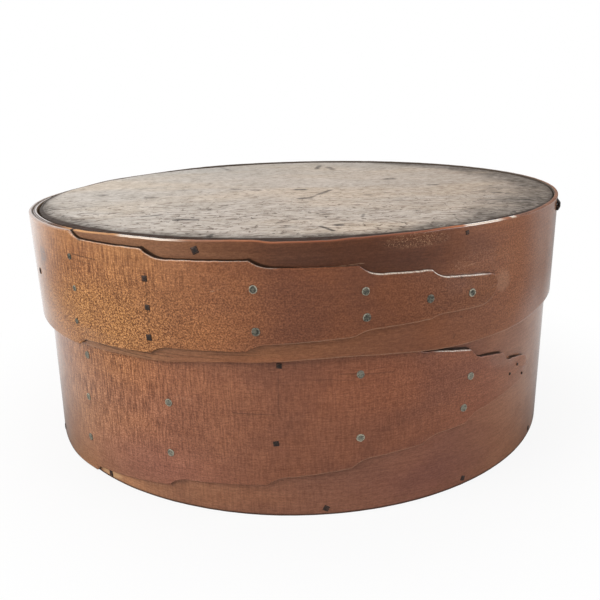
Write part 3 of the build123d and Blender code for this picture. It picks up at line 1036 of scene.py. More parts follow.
# Tones of each strip along its length: angle, then colour. Angles past 300 are the lap's outer layer.
# The tones are the wood's own colour with painted light in them as well: lighter at the front left,
# where the lamps fall, and darker across the front middle.
BASE_TONES = (
    (-98, (0.26, 0.13, 0.07)), (-40, (0.36, 0.175, 0.095)), (-8, (0.275, 0.116, 0.066)),
    (25, (0.24, 0.094, 0.058)), (60, (0.32, 0.15, 0.078)), (150, (0.27, 0.12, 0.065)),
    (254, (0.28, 0.13, 0.075)), (312, (0.41, 0.198, 0.10)), (335, (0.36, 0.15, 0.081)),
    (356, (0.265, 0.100, 0.052)), (375, (0.242, 0.088, 0.046)), (396, (0.257, 0.098, 0.056)),
    (411, (0.30, 0.125, 0.062)),
)
LID_TONES = (
    (-128, (0.24, 0.12, 0.065)), (-30, (0.31, 0.150, 0.073)), (-5, (0.258, 0.103, 0.045)),
    (22, (0.230, 0.082, 0.035)), (45, (0.275, 0.112, 0.057)), (95, (0.34, 0.16, 0.075)),
    (150, (0.27, 0.12, 0.065)), (280, (0.34, 0.17, 0.09)), (310, (0.49, 0.232, 0.097)),
    (332, (0.45, 0.205, 0.080)), (346, (0.35, 0.138, 0.055)), (358, (0.22, 0.077, 0.034)),
    (376, (0.20, 0.069, 0.030)), (395, (0.225, 0.090, 0.044)),
)
# Tones of the wood where the rim is rubbed bare, along the front of the lid
RIM_TONES = (
    (-50, (0.34, 0.15, 0.06)), (-40, (0.62, 0.32, 0.13)), (-28, (0.50, 0.24, 0.10)),
    (-15, (0.30, 0.12, 0.06)), (-7, (0.35, 0.110, 0.036)), (3, (0.23, 0.06, 0.018)),
    (12, (0.20, 0.049, 0.014)), (21, (0.23, 0.057, 0.017)), (27, (0.40, 0.112, 0.028)),
    (43, (0.30, 0.12, 0.06)),
)
# The tables below give angles in degrees, and heights and widths in millimetres.
# Changes of tone on the bands: middle (angle, height), reach (angle, height), colour, strength
LID_TINTS = (
    ((8, 121), (34, 14), (0.42, 0.39, 0.44), 0.9),
    ((-20, 128), (16, 9), (1.06, 1.06, 1.02), 0.6),
    ((316, 118), (12, 14), (0.86, 0.80, 0.75), 0.6),
    ((322, 92), (20, 26), (1.08, 1.12, 0.99), 0.8),
    ((-12, 78), (22, 6), (1.14, 1.05, 1.0), 0.8),
    ((344, 100), (10, 26), (1.05, 1.06, 0.98), 0.6),
    ((374, 84), (14, 10), (1.16, 1.14, 1.1), 0.6),
    ((352, 121), (9, 7), (0.75, 0.70, 0.72), 0.6),
)
BASE_TINTS = (
    ((325, 70), (24, 22), (1.10, 1.08, 0.88), 0.8),
    ((330, 18), (26, 24), (0.94, 0.92, 1.12), 0.8),
    ((372, 64), (20, 22), (1.14, 1.06, 0.95), 0.6),
    ((380, 24), (14, 14), (0.9, 0.92, 1.05), 0.7),
    ((24, 12), (18, 12), (0.92, 0.88, 0.98), 0.6),
    ((-38, 3), (15, 7), (1.32, 1.32, 1.2), 0.9),
    ((-12, 8), (20, 10), (1.10, 1.08, 1.0), 0.8),
    ((346, 60), (10, 34), (1.08, 1.07, 1.0), 0.7),
)
# Hairline cracks, dots and scratches on the bands: start and end as (angle, height), width, strength
LID_CRACKS = (
    ((319.4, 128.8), (321.1, 127.0), 1.2, 0.9),
    ((335.4, 88), (335.6, 116), 0.3, 0.5),
    ((373.0, 90.5), (382.0, 92.0), 0.3, 0.35),
    ((318.6, 119.5), (325.0, 119.0), 0.35, 0.6),
    ((320.0, 116.8), (324.0, 116.6), 0.3, 0.4),
    ((-38.0, 77.4), (-25.5, 76.4), 0.35, 0.55),
    ((-34.0, 78.8), (-21.0, 78.2), 0.3, 0.5),
    ((-28.0, 79.9), (-13.0, 79.6), 0.3, 0.4),
    ((-15.0, 81.4), (-6.0, 81.8), 0.25, 0.3),
    ((21.9, 110.8), (22.2, 110.8), 0.7, 0.6),
    ((19.8, 106.0), (20.0, 106.0), 0.6, 0.5),
    ((19.4, 99.9), (19.6, 99.9), 0.6, 0.5),
    ((387.0, 110.0), (387.2, 109.6), 0.7, 0.6),
    ((28.0, 91.0), (28.2, 91.0), 0.7, 0.6),
    ((26.6, 82.0), (26.9, 83.2), 0.6, 0.5),
)
LID_SCRATCHES = (
    ((346.8, 110.0), (348.2, 111.3), 0.35, 0.5),
    ((368.0, 124.0), (372.0, 124.6), 0.3, 0.35),
    ((5.0, 119.4), (10.5, 120.4), 0.35, 0.3),
    ((369.0, 86.8), (378.5, 90.0), 0.35, 0.4),
    ((27.0, 113.5), (31.0, 114.5), 0.35, 0.3),
)
BASE_CRACKS = (
    ((356.4, 52), (356.6, 73), 0.28, 0.35),
    ((348.6, 53.2), (355.6, 53.0), 0.35, 0.5),
    ((366.4, 71.4), (369.4, 70.8), 0.35, 0.4),
    ((366.0, 68.6), (369.0, 68.0), 0.3, 0.3),
    ((371.2, 70.2), (376.0, 69.8), 0.35, 0.4),
    ((362.0, 69.2), (366.0, 69.0), 0.3, 0.25),
    ((371.4, 72.2), (374.4, 72.6), 0.3, 0.3),
    ((388.0, 60.0), (394.0, 60.5), 0.3, 0.35),
)
BASE_SCRATCHES = (
    ((338.0, 58.0), (341.5, 57.6), 0.3, 0.3),
)
# Scuffed patches: middle (angle, height), reach (angle, height), colour, strength and least cover
LID_SCUFFS = (
    ((19.5, 128.0), (8.0, 4.4), (0.50, 0.27, 0.14), 0.85, 0.0),
    ((33.0, 112.0), (12.0, 12.0), (0.46, 0.24, 0.14), 0.5, 0.0),
    ((305.2, 113.5), (3.0, 6.0), (0.17, 0.18, 0.195), 1.0, 0.35),
    ((304.2, 108.0), (2.4, 5.0), (0.17, 0.18, 0.195), 1.0, 0.2),
    ((37.8, 103.0), (2.6, 7.0), (0.44, 0.25, 0.155), 0.45, 0.5),
)
BASE_SCUFFS = (
    ((-41.5, 3.4), (5.0, 3.6), (0.62, 0.38, 0.19), 0.85, 0.75),
    ((27.0, 14.0), (6.0, 9.0), (0.07, 0.035, 0.03), 0.35, 0.0),
    ((403.0, 66.0), (9.0, 13.0), (0.30, 0.185, 0.14), 0.4, 0.6),
)
# Where the flecks, the striae and the speckle show: middle and reach as (angle, height), strength
LID_FIGURED = (
    ("Flecks", (325, 90), (38, 46), 0.9),
    ("Striae", (320, 115), (38, 24), 1.0),
    ("Speckle", (352, 98), (26, 42), 1.0),
    ("Speckle", (388, 100), (24, 45), 1.0),
    ("Speckle", (42, 105), (26, 45), 1.0),
)
BASE_FIGURED = (
    ("Flecks", (322, 76), (16, 16), 0.6),
    ("Striae", (316, 62), (44, 70), 1.0),
    ("Striae", (364, 40), (46, 95), 0.35),
    ("Speckle", (325, 50), (40, 60), 0.8),
    ("Speckle", (388, 60), (26, 40), 0.6),
    ("Striae", (-15, 10), (40, 30), 0.3),
)


# Each band's whole finish. The lit and closed stretches of the finger's edge and the glossy stretches of the
# rim are given as the angles where they start to show, are full, start to fade and are gone. Along a lit
# stretch the finger's edge gets a painted highlight; along a glossy stretch the rim keeps its gloss and gets
# a painted highlight.
BASE_FINISH = {
    "tones": BASE_TONES, "tints": BASE_TINTS, "figured": BASE_FIGURED, "cracks": BASE_CRACKS,
    "scratches": BASE_SCRATCHES, "scuffs": BASE_SCUFFS, "lit": (383, 385.5, 390.5, 392.5),
    "closed": (400, 401, 402, 403), "gloss_and_highlight": (), "shade_under_rim": 0.0,
}
LID_FINISH = {
    "tones": LID_TONES, "tints": LID_TINTS, "figured": LID_FIGURED, "cracks": LID_CRACKS,
    "scratches": LID_SCRATCHES, "scuffs": LID_SCUFFS, "lit": (370, 371.5, 392, 394),
    "closed": (355, 358, 369, 371), "shade_under_rim": 1.0,
    "gloss_and_highlight": ((-31, -29, -22, -16), (27.5, 29, 35, 38), (38.8, 39.2, 40.2, 40.6)),
}
# Darker and lighter versions of a tone in the figure that shows all over a band
EVEN_CONTRASTS = {
    "Blotches": ((0.91, 0.87, 0.86), (1.06, 1.07, 1.07)),
    "Grain": ((0.90, 0.87, 0.85), (1.05, 1.06, 1.07)),
    "Fine grain": ((0.84, 0.81, 0.79), (1.10, 1.11, 1.12)),
    "Speckle": ((0.92, 0.90, 0.88), (1.06, 1.07, 1.08)),
}
# The same for the stronger figure that shows in places
FIGURE_CONTRASTS = {
    "Flecks": ((0.32, 0.23, 0.17), (1.42, 1.44, 1.38)),
    "Striae": ((0.58, 0.50, 0.46), (1.26, 1.26, 1.23)),
    "Speckle": ((0.76, 0.72, 0.70), (1.24, 1.26, 1.27)),
}


def line_mark(place, start, end, width):
    return place_group("Line mark", {"Place": place, "Start": start, "End": end, "Width": width})["Mask"]


def strip_marks(place, strip, marks):
    """The strongest of several lines on a strip."""
    total = 0.0
    for (start, low), (end, high), width, strength in marks:
        mask = line_mark(
            place, (strip.arc(start), 0, low * MM), (strip.arc(end), 0, high * MM), width * MM)
        total = most(mask * strength, total)
    return total


def span_of(along, strip, rise, full, fall, gone):
    """A mask along the strip that rises, holds and falls."""
    up = window(along, strip.arc(rise), strip.arc(full))
    return up * window(along, strip.arc(fall), strip.arc(gone), 1.0, 0.0)


def patch_of(place, strip, middle, reach):
    """A mask round a place on a strip, fading out evenly."""
    return place_group("Soft patch", {
        "Place": place, "Middle": (strip.arc(middle[0]), 0, middle[1] * MM),
        "Reach": (strip.arc(reach[0]), 1, reach[1] * MM)})["Mask"]


def tones_along(along, strip, tones):
    """Colours that change along a strip, from (angle, colour) pairs."""
    first, last = tones[0][0], tones[-1][0]
    share = window(along, strip.arc(first), strip.arc(last), kind="LINEAR")
    return ramp(share, [((angle - first) / (last - first), tone) for angle, tone in tones])


def shellacked_wood(name, strip, finish, colours):
    """Old amber shellac over the outer face of a band, with its tone set along the strip."""
    material, tree, shader = new_material(name)
    raw = attribute(tree, "strip", "Vector")
    edge, upper = attribute(tree, "edge"), attribute(tree, "upper")
    place = scaled(raw, (1, 0, 1))
    along, face, height = parts_of(raw)

    def span(*angles):
        return span_of(along, strip, *angles)

    def near_edge(full, gone, strength=1.0):
        return window(edge, full * MM, gone * MM, strength, 0.0)

    shade = tones_along(along, strip, finish["tones"])
    for middle, reach, tint, strength in finish["tints"]:
        shade = multiplied(patch_of(place, strip, middle, reach) * strength, shade, tint)
    figure = place_group("Wood figure", {"Place": moved(place, (strip.seed, 0, 0))})
    for key, contrast in EVEN_CONTRASTS.items():
        shade = tinted(figure[key], shade, *contrast)
    relief = figure["Grain"] * 0.2 + figure["Fine grain"] * 0.2
    for key, middle, reach, strength in finish["figured"]:
        shown = patch_of(place, strip, middle, reach) * strength
        shade = mixed(shown, shade, tinted(figure[key], shade, *FIGURE_CONTRASTS[key]))
        relief = relief - figure[key] * shown * 0.5
    # Painted shade in a band just under the front of the rim
    shade_under_rim = window(height, LID_HIGH.z - 7.5 * MM, LID_HIGH.z - 4.5 * MM) * span(-26, -12, 22, 31)
    shade = multiplied(shade_under_rim * finish["shade_under_rim"], shade, (0.74, 0.69, 0.66))
    # Wood rubbed bare along the front of the rim, and the stretches there that stay glossy and get a painted
    # highlight
    rim = window(height, LID_HIGH.z - 3.6 * MM, LID_HIGH.z - 2.6 * MM)
    front = span(-48, -43, 38, 43)
    gloss_and_highlight = 0.0
    for angles in finish["gloss_and_highlight"]:
        gloss_and_highlight = most(gloss_and_highlight, span(*angles))
    gloss_and_highlight = gloss_and_highlight * rim * near_edge(0.45, 0.7)
    top_edge = rim * near_edge(0.2, 0.55)
    rubbed = top_edge * front * window(figure["Fine grain"], 0.0, 0.8, 0.7, 1.0)
    shade = multiplied(top_edge * (0.8 - front), shade, (0.6, 0.56, 0.56))
    shade = mixed(rubbed, shade, tones_along(along, strip, RIM_TONES))
    shade = mixed(gloss_and_highlight * 0.9, shade, colours.rim_highlight)
    # Arrises of the finger: a painted highlight, pale where the light catches them, and only a little
    # lighter elsewhere
    lit, closed = span(*finish["lit"]), span(*finish["closed"])
    broken = window(figure["Speckle"], 0.0, 0.8, 0.35, 1.0)
    off_rim = 1 - rim
    from_tip = window(along, strip.arc(strip.end - 4), strip.arc(strip.end - 2), 1.0, 0.0)
    thin = near_edge(0.05, 0.5, 0.9) * off_rim * (1 - closed)
    shade = multiplied(thin * from_tip, shade, (1.25, 1.22, 1.18))
    # A painted reflection of the pale floor along the fingers' lower edges
    under_finger = most(span(350, 362, 420, 430), span(-10, 6, 70, 85))
    lower = near_edge(0.1, 0.75, 0.9) * (1 - upper) * under_finger * broken
    shade = mixed(lower * 0.8, shade, colours.lower_edge_reflection)
    # Painted highlights along the upper edges: a thin streak at the left and a broad one where lit
    streak = near_edge(0.03, 0.3, 0.5) * upper * broken * off_rim * span(318, 322, 356, 358)
    shade = mixed(streak, shade, colours.edge_highlight)
    broad = near_edge(0.1, 0.7, 0.95) * upper * lit * broken * off_rim
    shade = mixed(broad * from_tip, shade, colours.edge_highlight)
    # Seams: dirt and painted shade on the edges' own faces and between the layers on the rim; on the layer
    # under the finger, a dark line over its upper edge that is dirt and painted shade, and a painted shadow
    # under its lower edge
    seam = seam_dirt_and_shade(along, face, strip, edge, upper, rim, lit) * (1 - closed * 0.8)
    above, below, _ = parts_of(attribute(tree, "lap", "Vector"))
    crevice = window(above, 0.6, 1.1, 0.95, 0.0) * window(above, -2.0, -1.0)
    under = window(below, 0.5, 1.4, 1.0, 0.0) * window(below, -2.0, -1.0)
    under = under * window(along, strip.arc(-10), strip.arc(8), 0.55, 0.15)
    seam = most(seam, most(crevice, under))
    shade = mixed(seam, shade, colours.grime_and_shade)
    # Scuffs, scratches and cracks
    roughened = top_edge * span(-54, -48, 90, 110)
    for middle, reach, tone, strength, cover in finish["scuffs"]:
        patch = window(patch_of(place, strip, middle, reach), 0.0, 0.6)
        scuffed = patch * most(figure["Scuffs"], cover) * strength
        shade = mixed(scuffed, shade, tone)
        roughened = most(roughened, scuffed * 0.5)
    scratched = strip_marks(place, strip, finish["scratches"]) * window(figure["Fine grain"], 0.2, 0.7)
    shade = mixed(scratched, shade, (0.60, 0.36, 0.22))
    shade = multiplied(figure["Scratches"] * 0.3, shade, (0.58, 0.52, 0.48))
    cracked = strip_marks(place, strip, finish["cracks"]) * window(figure["Striae"], 0.1, 0.9, 0.8, 1.0)
    # A painted contact shadow along the base's lower edge, where it stands on the floor, mixed in with the
    # cracks
    foot = window(height, 0.5 * MM, 1.6 * MM, 0.85, 0.0)
    shade = mixed(most(cracked, foot), shade, colours.grime_and_shade)
    rough = window(figure["Blotches"], 0.0, 1.0, 0.34, 0.46) + roughened * 0.4
    relief = relief - cracked * 2.0 - crevice * 3.0
    fill(shader, {
        "Base Color": shade,
        "Roughness": rough - gloss_and_highlight * 0.6,
        "Coat Weight": window(most(roughened, seam) - gloss_and_highlight, 0.0, 0.8, 0.9, 0.0),
        "Coat Roughness": 0.12,
        "Normal": bump(relief, 0.5, 0.06 * MM),
    })
    return material


def seam_dirt_and_shade(along, face, strip, edge, upper, rim, lit):
    """A mask of the dark part of an edge's face, on the side that lies against the other layer: dirt and
    painted shade, less of it where the edge gets a painted highlight, and the dark seams between the layers
    on the rim.
    """
    outer_lap = window(along, strip.arc(268), strip.arc(275))
    finger = outer_lap * upper * (1 - rim)
    dark_share = window(face - (0.82 - lit * 0.6), -0.12, 0.12, 1.0, 0.0)
    outer_seam = outer_lap * window(face, 0.25, 0.45, 1.0, 0.0)
    inner_seam = window(along, strip.arc(-48), strip.arc(-42), 1.0, 0.0) * window(face, 0.5, 0.75)
    seams = most(outer_seam, inner_seam) * rim
    return window(edge, 0.02 * MM, 0.12 * MM, 1.0, 0.0) * most(finger * dark_share, seams)


def bare_band_wood(name, strip, colours):
    """The unfinished inner face of a band."""
    material, tree, shader = new_material(name)
    raw = attribute(tree, "strip", "Vector")
    figure = place_group("Wood figure", {"Place": moved(scaled(raw, (1, 0, 1)), (strip.seed, 0, 0.3))})
    shade = mixed(figure["Grain"] * 0.45, colours.bare_inside, dimmed(colours.bare_inside, 0.68))
    shade = multiplied(figure["Blotches"] * 0.4, shade, (0.76, 0.70, 0.64))
    shade = multiplied(figure["Fine grain"] * 0.3, shade, (0.75, 0.68, 0.60))
    sooty = window(parts_of(raw)[2], BOARD_HIGH.z - 3 * MM, BOARD_HIGH.z - 1 * MM, 0.0, 0.85)
    fill(shader, {
        "Base Color": mixed(sooty, shade, colours.board_black),
        "Roughness": window(figure["Grain"], 0.0, 1.0, 0.66, 0.8),
        "Normal": bump(figure["Grain"] + figure["Fine grain"] * 0.5, 0.5, 0.08 * MM),
    })
    return material


# Marks on the lid's board, in millimetres: start and end as (x, y), width and strength
BOARD_CRACKS = (
    ((-62, -98), (-56, -99), 1.4, 0.5), ((-56, -99), (-47, -102), 2.4, 0.9),
    ((-75, -89), (-67, -86), 2.0, 0.8), ((0, -11), (4, -12), 3.4, 1.0), ((2, -46), (7, -45), 2.8, 0.9),
    ((7, -45), (13, -31), 1.6, 0.55), ((13, -31), (20, -16), 2.2, 0.8), ((-72, 0), (-68, -1), 3.0, 0.45),
    ((-39, -2), (-36, -3), 3.4, 0.5), ((-26, -8), (-24, -8), 3.4, 0.7),
    ((-118, -13), (-115, -13), 3.4, 0.5), ((-87, -28), (-82, -29), 3.2, 0.6),
    ((-123, -60), (-113, -52), 1.6, 0.5), ((-110, -75), (-87, -78), 1.0, 0.4),
    ((-50, -72), (-37, -74), 1.4, 0.35), ((-4, -106), (8, -107), 1.3, 0.7),
    ((-4, -125), (0, -125), 1.8, 0.5), ((11, -125), (16, -135), 1.5, 0.9),
    ((-65, 132), (-52, 103), 2.6, 0.4), ((14, 97), (17, 120), 2.6, 0.7), ((23, 108), (26, 90), 3.2, 0.55),
    ((59, 28), (62, 28), 4.4, 0.8), ((80, 100), (84, 99), 4.0, 0.4), ((81, -5), (84, -5), 3.4, 0.6),
    ((39, -39), (41, -39), 3.0, 0.5), ((51, -61), (56, -62), 1.6, 0.5), ((109, -43), (112, -43), 2.8, 0.8),
    ((96, -65), (120, -68), 1.4, 0.65), ((123, 24), (139, 21), 2.6, 0.45),
    ((18, -123), (20, -123), 2.4, 0.9), ((32, -99), (31, -105), 1.2, 0.6),
    ((42, -115), (47, -122), 1.2, 0.4),
)
# Patterns of the board: scale per metre in X and Y, detail, distortion, and the part that shows
BOARD_PATTERNS = {
    "streaks": ((30, 140), 4.0, 0.3, 0.36, 0.66),
    "grain": ((230, 380), 4.0, 0.3, 0.38, 0.64),
    "mottle": ((60, 44), 5.0, 0.6, 0.36, 0.66),
    "pits": ((300, 260), 3.0, 0.8, 0.585, 0.64),
    "checks": ((150, 230), 3.0, 0.5, 0.625, 0.65),
    "hairs": ((90, 520), 3.0, 0.2, 0.555, 0.605),
    "spread": ((24, 36), 3.0, 0.3, 0.40, 0.56),
    "warmth": ((7, 15), 2.0, 0.0, 0.42, 0.66),
    "uneven": ((34, 34), 4.0, 0.3, 0.30, 0.70),
}


# Darker and lighter versions of the board's tone in three of its patterns
BOARD_CONTRASTS = {
    "mottle": ((0.93, 0.92, 0.91), (1.05, 1.05, 1.06)),
    "streaks": ((0.94, 0.93, 0.92), (1.04, 1.04, 1.05)),
    "grain": ((0.86, 0.84, 0.82), (1.06, 1.07, 1.07)),
}


def weathered_board(name, colours, radius):
    """The top of the lid's board: grey, cracked along the grain and blackened round its edge."""
    material, tree, shader = new_material(name)
    x, y, _ = parts_of(object_place(tree))
    flat = joined(x, y, 0.0)
    pattern = {}
    for key, ((along, across), detail, distortion, low, high) in BOARD_PATTERNS.items():
        found = fine_noise(scaled(flat, (along, across, 0)), detail, 0.6, distortion)
        pattern[key] = window(found, low, high)
    shade = mixed(pattern["warmth"], colours.board_grey, colours.board_tan)
    for key, contrast in BOARD_CONTRASTS.items():
        shade = tinted(pattern[key], shade, *contrast)
    # Nearer the front the board is rougher and more cracked
    front = window(y, 0.03, -0.11, 0.35, 1.0)
    shade = multiplied(pattern["hairs"] * front * 0.9, shade, (0.40, 0.35, 0.32))
    shade = multiplied(pattern["pits"] * front * 0.9, shade, (0.36, 0.32, 0.29))
    checked = pattern["checks"] * pattern["spread"] * front
    shade = mixed(checked * 0.9, shade, colours.board_black)
    # Single marks, with uneven edges
    aside = (fine_noise(scaled(flat, (210, 210, 0)), 2.0) - 0.5) * (3 * MM)
    uneven = moved(flat, joined(0.0, aside, 0.0))
    marked = 0.0
    for start, end, width, strength in BOARD_CRACKS:
        mask = line_mark(uneven, Vector((*start, 0)) * MM, Vector((*end, 0)) * MM, width * MM)
        marked = most(mask * strength, marked)
    marked = marked * window(pattern["grain"], 0.0, 0.6, 0.8, 1.0)
    shade = mixed(marked, shade, colours.board_black)
    # The blackened ring: broad at the right, narrow at the front, and only a line at the back
    reach = 4 * MM + (window(x, 0.03, 0.14) * (44 * MM) + window(y, 0.0, -0.06) * (9 * MM))
    from_edge = radius - length_of(flat)
    shifted = from_edge + (pattern["uneven"] - 0.5) * (reach * 0.5)
    soot = window(shifted / reach, 0.0, 1.0, 0.8, 0.0) * window(pattern["grain"], 0.0, 0.8, 0.75, 1.0)
    wide = window(y, -0.05, -0.13, 0.3, 1.0)
    rim = window(from_edge / wide, 1.6 * MM, 4.5 * MM, 0.95, 0.0)
    shade = mixed(most(soot, rim), shade, colours.board_black)
    # A dark line along the board's edge at the band, strongest at the front: dirt and painted shade in the
    # gap
    seam = window(from_edge, 1.6 * MM, 2.8 * MM, 0.95, 0.0) * wide
    shade = mixed(seam, shade, colours.grime_and_shade)
    # Darker to the right and the back; paler and greyer to the left, a painted sheen
    shade = multiplied(window(x, 0.0, 0.14), shade, (0.86, 0.83, 0.80))
    shade = multiplied(window(x, 0.0, -0.12), shade, (1.08, 1.13, 1.17))
    shade = multiplied(window(y, 0.03, 0.13), shade, (0.88, 0.91, 0.93))
    relief = pattern["grain"] * -0.6 - pattern["pits"] * 0.8 - checked * 1.5 - marked * 2.5
    fill(shader, {
        "Base Color": shade,
        "Roughness": window(pattern["grain"], 0.0, 1.0, 0.66, 0.82),
        "Specular IOR Level": 0.18,
        "Normal": bump(relief, 0.6, 0.12 * MM),
    })
    return material


def bare_pine(name, colours):
    """Unfinished pine, on the hidden faces of the boards."""
    material, tree, shader = new_material(name)
    x, y, z = parts_of(object_place(tree))
    figure = place_group("Wood figure", {"Place": scaled(joined(x, z, y), (0.8, 0, 0.35))})
    shade = mixed(figure["Grain"] * 0.5, colours.bare_pine, dimmed(colours.bare_pine, 0.62))
    fill(shader, {
        "Base Color": multiplied(figure["Blotches"] * 0.35, shade, (0.75, 0.68, 0.60)),
        "Roughness": window(figure["Grain"], 0.0, 1.0, 0.64, 0.8),
        "Normal": bump(figure["Grain"], 0.5, 0.1 * MM),
    })
    return material


def old_metal(name, dark, bright, metallic, roughness):
    """Tarnished metal, pitted, and rubbed bright round the rims of its heads."""
    material, tree, shader = new_material(name)
    place, worn = object_place(tree), attribute(tree, "worn")
    found = place_group("Tarnish", {"Place": place})
    tarnish, pits = found["Tarnish"], found["Pits"]
    rim = window(worn, 0.62, 0.78) * window(worn, 0.93, 1.0, 1.0, 0.0)
    each_head = fine_noise(scaled(place, (55, 55, 55)), 1.0)
    rim = rim * window(each_head, 0.40, 0.58, 0.1, 0.95)
    rubbed = (tarnish * 0.3 + rim) * window(tarnish, 0.0, 0.6, 0.6, 1.0)
    shade = mixed(rubbed, dark, bright)
    shade = mixed(pits * 0.8, shade, dimmed(dark, 0.3))
    fill(shader, {
        "Base Color": mixed(window(worn, 1.3, 1.7, 0.0, 0.8), shade, dimmed(dark, 0.4)),
        "Metallic": metallic,
        "Roughness": window(tarnish, 0.0, 1.0, roughness + 0.12, roughness - 0.08),
        "Normal": bump(tarnish - pits, 0.5, 0.08 * MM),
    })
    return material


def shared_groups():
    """Builds each shared shader group once."""
    if "Wood figure" not in bpy.data.node_groups:
        make_wood_figure()
        make_soft_patch()
        make_line_mark()
        make_tarnish()


# Operators

class CHEESEBOX_OT_base_band(bpy.types.Operator):
    """Bend the base's strip and finish it"""
    bl_idname = "cheesebox.base_band"
    bl_label = "Base Band"

    def execute(self, context):
        shared_groups()
        colours = context.scene.finish_colours
        strip = base_strip(context.scene.band_sizes)
        outside = shellacked_wood("Base shellac", strip, BASE_FINISH, colours)
        inside = bare_band_wood("Base bare inside", strip, colours)
        piece = bent_band("base_bent_band", strip)
        dress(piece, (outside, inside), "base", "band_wood", "base_band")
        return {"FINISHED"}


class CHEESEBOX_OT_lid_band(bpy.types.Operator):
    """Bend the lid's strip and finish it"""
    bl_idname = "cheesebox.lid_band"
    bl_label = "Lid Band"

    def execute(self, context):
        shared_groups()
        colours = context.scene.finish_colours
        strip = lid_strip(context.scene.band_sizes)
        outside = shellacked_wood("Lid shellac", strip, LID_FINISH, colours)
        inside = bare_band_wood("Lid bare inside", strip, colours)
        piece = bent_band("lid_bent_band", strip)
        dress(piece, (outside, inside), "lid", "band_wood", "lid_band")
        return {"FINISHED"}


# From the back round to this angle the board is plain round; past it, it follows the band's bulge
PLAIN_ROUND_TO = -112
# How far the board has shrunk away from the band at the left
SHRUNK = 0.9 * MM


class CHEESEBOX_OT_lid_board(bpy.types.Operator):
    """Turn the lid's weathered board"""
    bl_idname = "cheesebox.lid_board"
    bl_label = "Lid Board"

    def execute(self, context):
        shared_groups()
        scene = context.scene
        sizes, colours = scene.board_sizes, scene.finish_colours
        strip = lid_strip(scene.band_sizes)
        radius = strip.inner_radius - sizes.gap
        high, low = BOARD_HIGH.z, BOARD_LOW.z

        def reshape(point):
            across = hypot(point.x, point.y)
            angle = degrees(atan2(point.x, -point.y)) if across else 0.0
            inner_face = strip.inner(angle) if angle > PLAIN_ROUND_TO else strip.inner_radius
            outline = inner_face - sizes.gap - SHRUNK * between(abs(angle + 62), 35, 12)
            out = across / radius * outline
            front = 0.65 + 0.35 * cos(radians(angle + 30))
            worn = sizes.worn_edge * front * (1 - smooth((outline - out) / sizes.worn_width))
            worn *= 0.8 + 0.4 * wobble(point.x * 60, point.y * 60, 2.0)
            hollow = sizes.unevenness * (0.5 + 0.5 * wobble(point.x * 7, point.y * 22, 0.4))
            top_share = between(point.z, low + (high - low) * 0.4, high)
            return round_box(angle, out, point.z - min(worn + hollow, high - low) * top_share)

        piece = turned_board("lid_top_board", board_profile(radius, low, high, 0.8 * MM), 360, reshape)
        top = weathered_board("Weathered board", colours, radius)
        dress(piece, (top, bare_pine("Lid bare pine", colours)), "lid", "lid_board_wood", "lid_board")
        return {"FINISHED"}


class CHEESEBOX_OT_bottom_board(bpy.types.Operator):
    """Turn the bottom board"""
    bl_idname = "cheesebox.bottom_board"
    bl_label = "Bottom Board"

    def execute(self, context):
        shared_groups()
        scene = context.scene
        radius = base_strip(scene.band_sizes).inner_radius - scene.board_sizes.gap
        profile = board_profile(radius, BOTTOM_LOW.z, BOTTOM_HIGH.z, 0.4 * MM)
        piece = turned_board("base_bottom_board", profile, 240, lambda point: point)
        pine = bare_pine("Bottom bare pine", scene.finish_colours)
        dress(piece, (pine, pine), "base", "board_wood", "bottom_board")
        return {"FINISHED"}


class CHEESEBOX_OT_lap_tacks(bpy.types.Operator):
    """Set the round tacks of both laps"""
    bl_idname = "cheesebox.lap_tacks"
    bl_label = "Lap Tacks"

    def execute(self, context):
        shared_groups()
        scene = context.scene
        sizes, bands, colours = scene.fastener_sizes, scene.band_sizes, scene.finish_colours
        base, lid = base_strip(bands), lid_strip(bands)
        green, bright = colours.tack_green, colours.tack_bright
        rubbed = old_metal("Rubbed tack", dimmed(green, 2.9), bright, 0.2, 0.45)
        tarnished = old_metal("Tarnished tack", green, bright, 0.2, 0.5)
        for name, node, strip, body, metal, radius, seed in (
            ("base_round_tacks", "base_lap_tacks", base, "base", rubbed, sizes.tack_head, 11),
            ("lid_round_tacks", "lid_lap_tacks", lid, "lid", tarnished, sizes.tack_head, 41),
            ("lid_small_round_tacks", "lid_lap_small_tacks", lid, "lid", tarnished,
             sizes.small_tack_head, 61),
        ):
            tack = round_tack(sizes, radius, strip.lap_thickness)
            dress(fasteners(name, node, strip, seed, tack), (metal,), body, "tack_metal", node)
        return {"FINISHED"}


class CHEESEBOX_OT_iron(bpy.types.Operator):
    """Set the iron tacks, the brads and the nails"""
    bl_idname = "cheesebox.iron"
    bl_label = "Iron Tacks and Nails"

    def execute(self, context):
        shared_groups()
        scene = context.scene
        sizes, bands, colours = scene.fastener_sizes, scene.band_sizes, scene.finish_colours
        base, lid = base_strip(bands), lid_strip(bands)
        length = base.lap_thickness
        iron = old_metal("Rusted iron", colours.iron_dark, colours.iron_rust, 0.2, 0.6)
        tack, brad = iron_tack(sizes, length), round_tack(sizes, sizes.brad_head, length)
        edge_nail = square_nail(sizes, 1.0, 1.0, 1.25, 0.62)
        bent_nail = standing_nail(sizes, 1.9 * MM + sizes.nail_head_height)
        for name, node, strip, body, build, seed in (
            ("base_iron_tacks", "base_lap_iron_tacks", base, "base", tack, 71),
            ("base_tip_brads", "base_lap_tip_brads", base, "base", brad, 81),
            ("base_board_nails", "bottom_board_nails", base, "base", square_nail(sizes), 91),
            ("lid_iron_tacks", "lid_lap_iron_tacks", lid, "lid", tack, 111),
            ("lid_edge_nails", "lid_board_nails", lid, "lid", edge_nail, 121),
            ("lid_standing_nail", "lid_proud_nail", lid, "lid", bent_nail, 131),
        ):
            dress(fasteners(name, node, strip, seed, build), (iron,), body, "dark_iron", node)
        return {"FINISHED"}


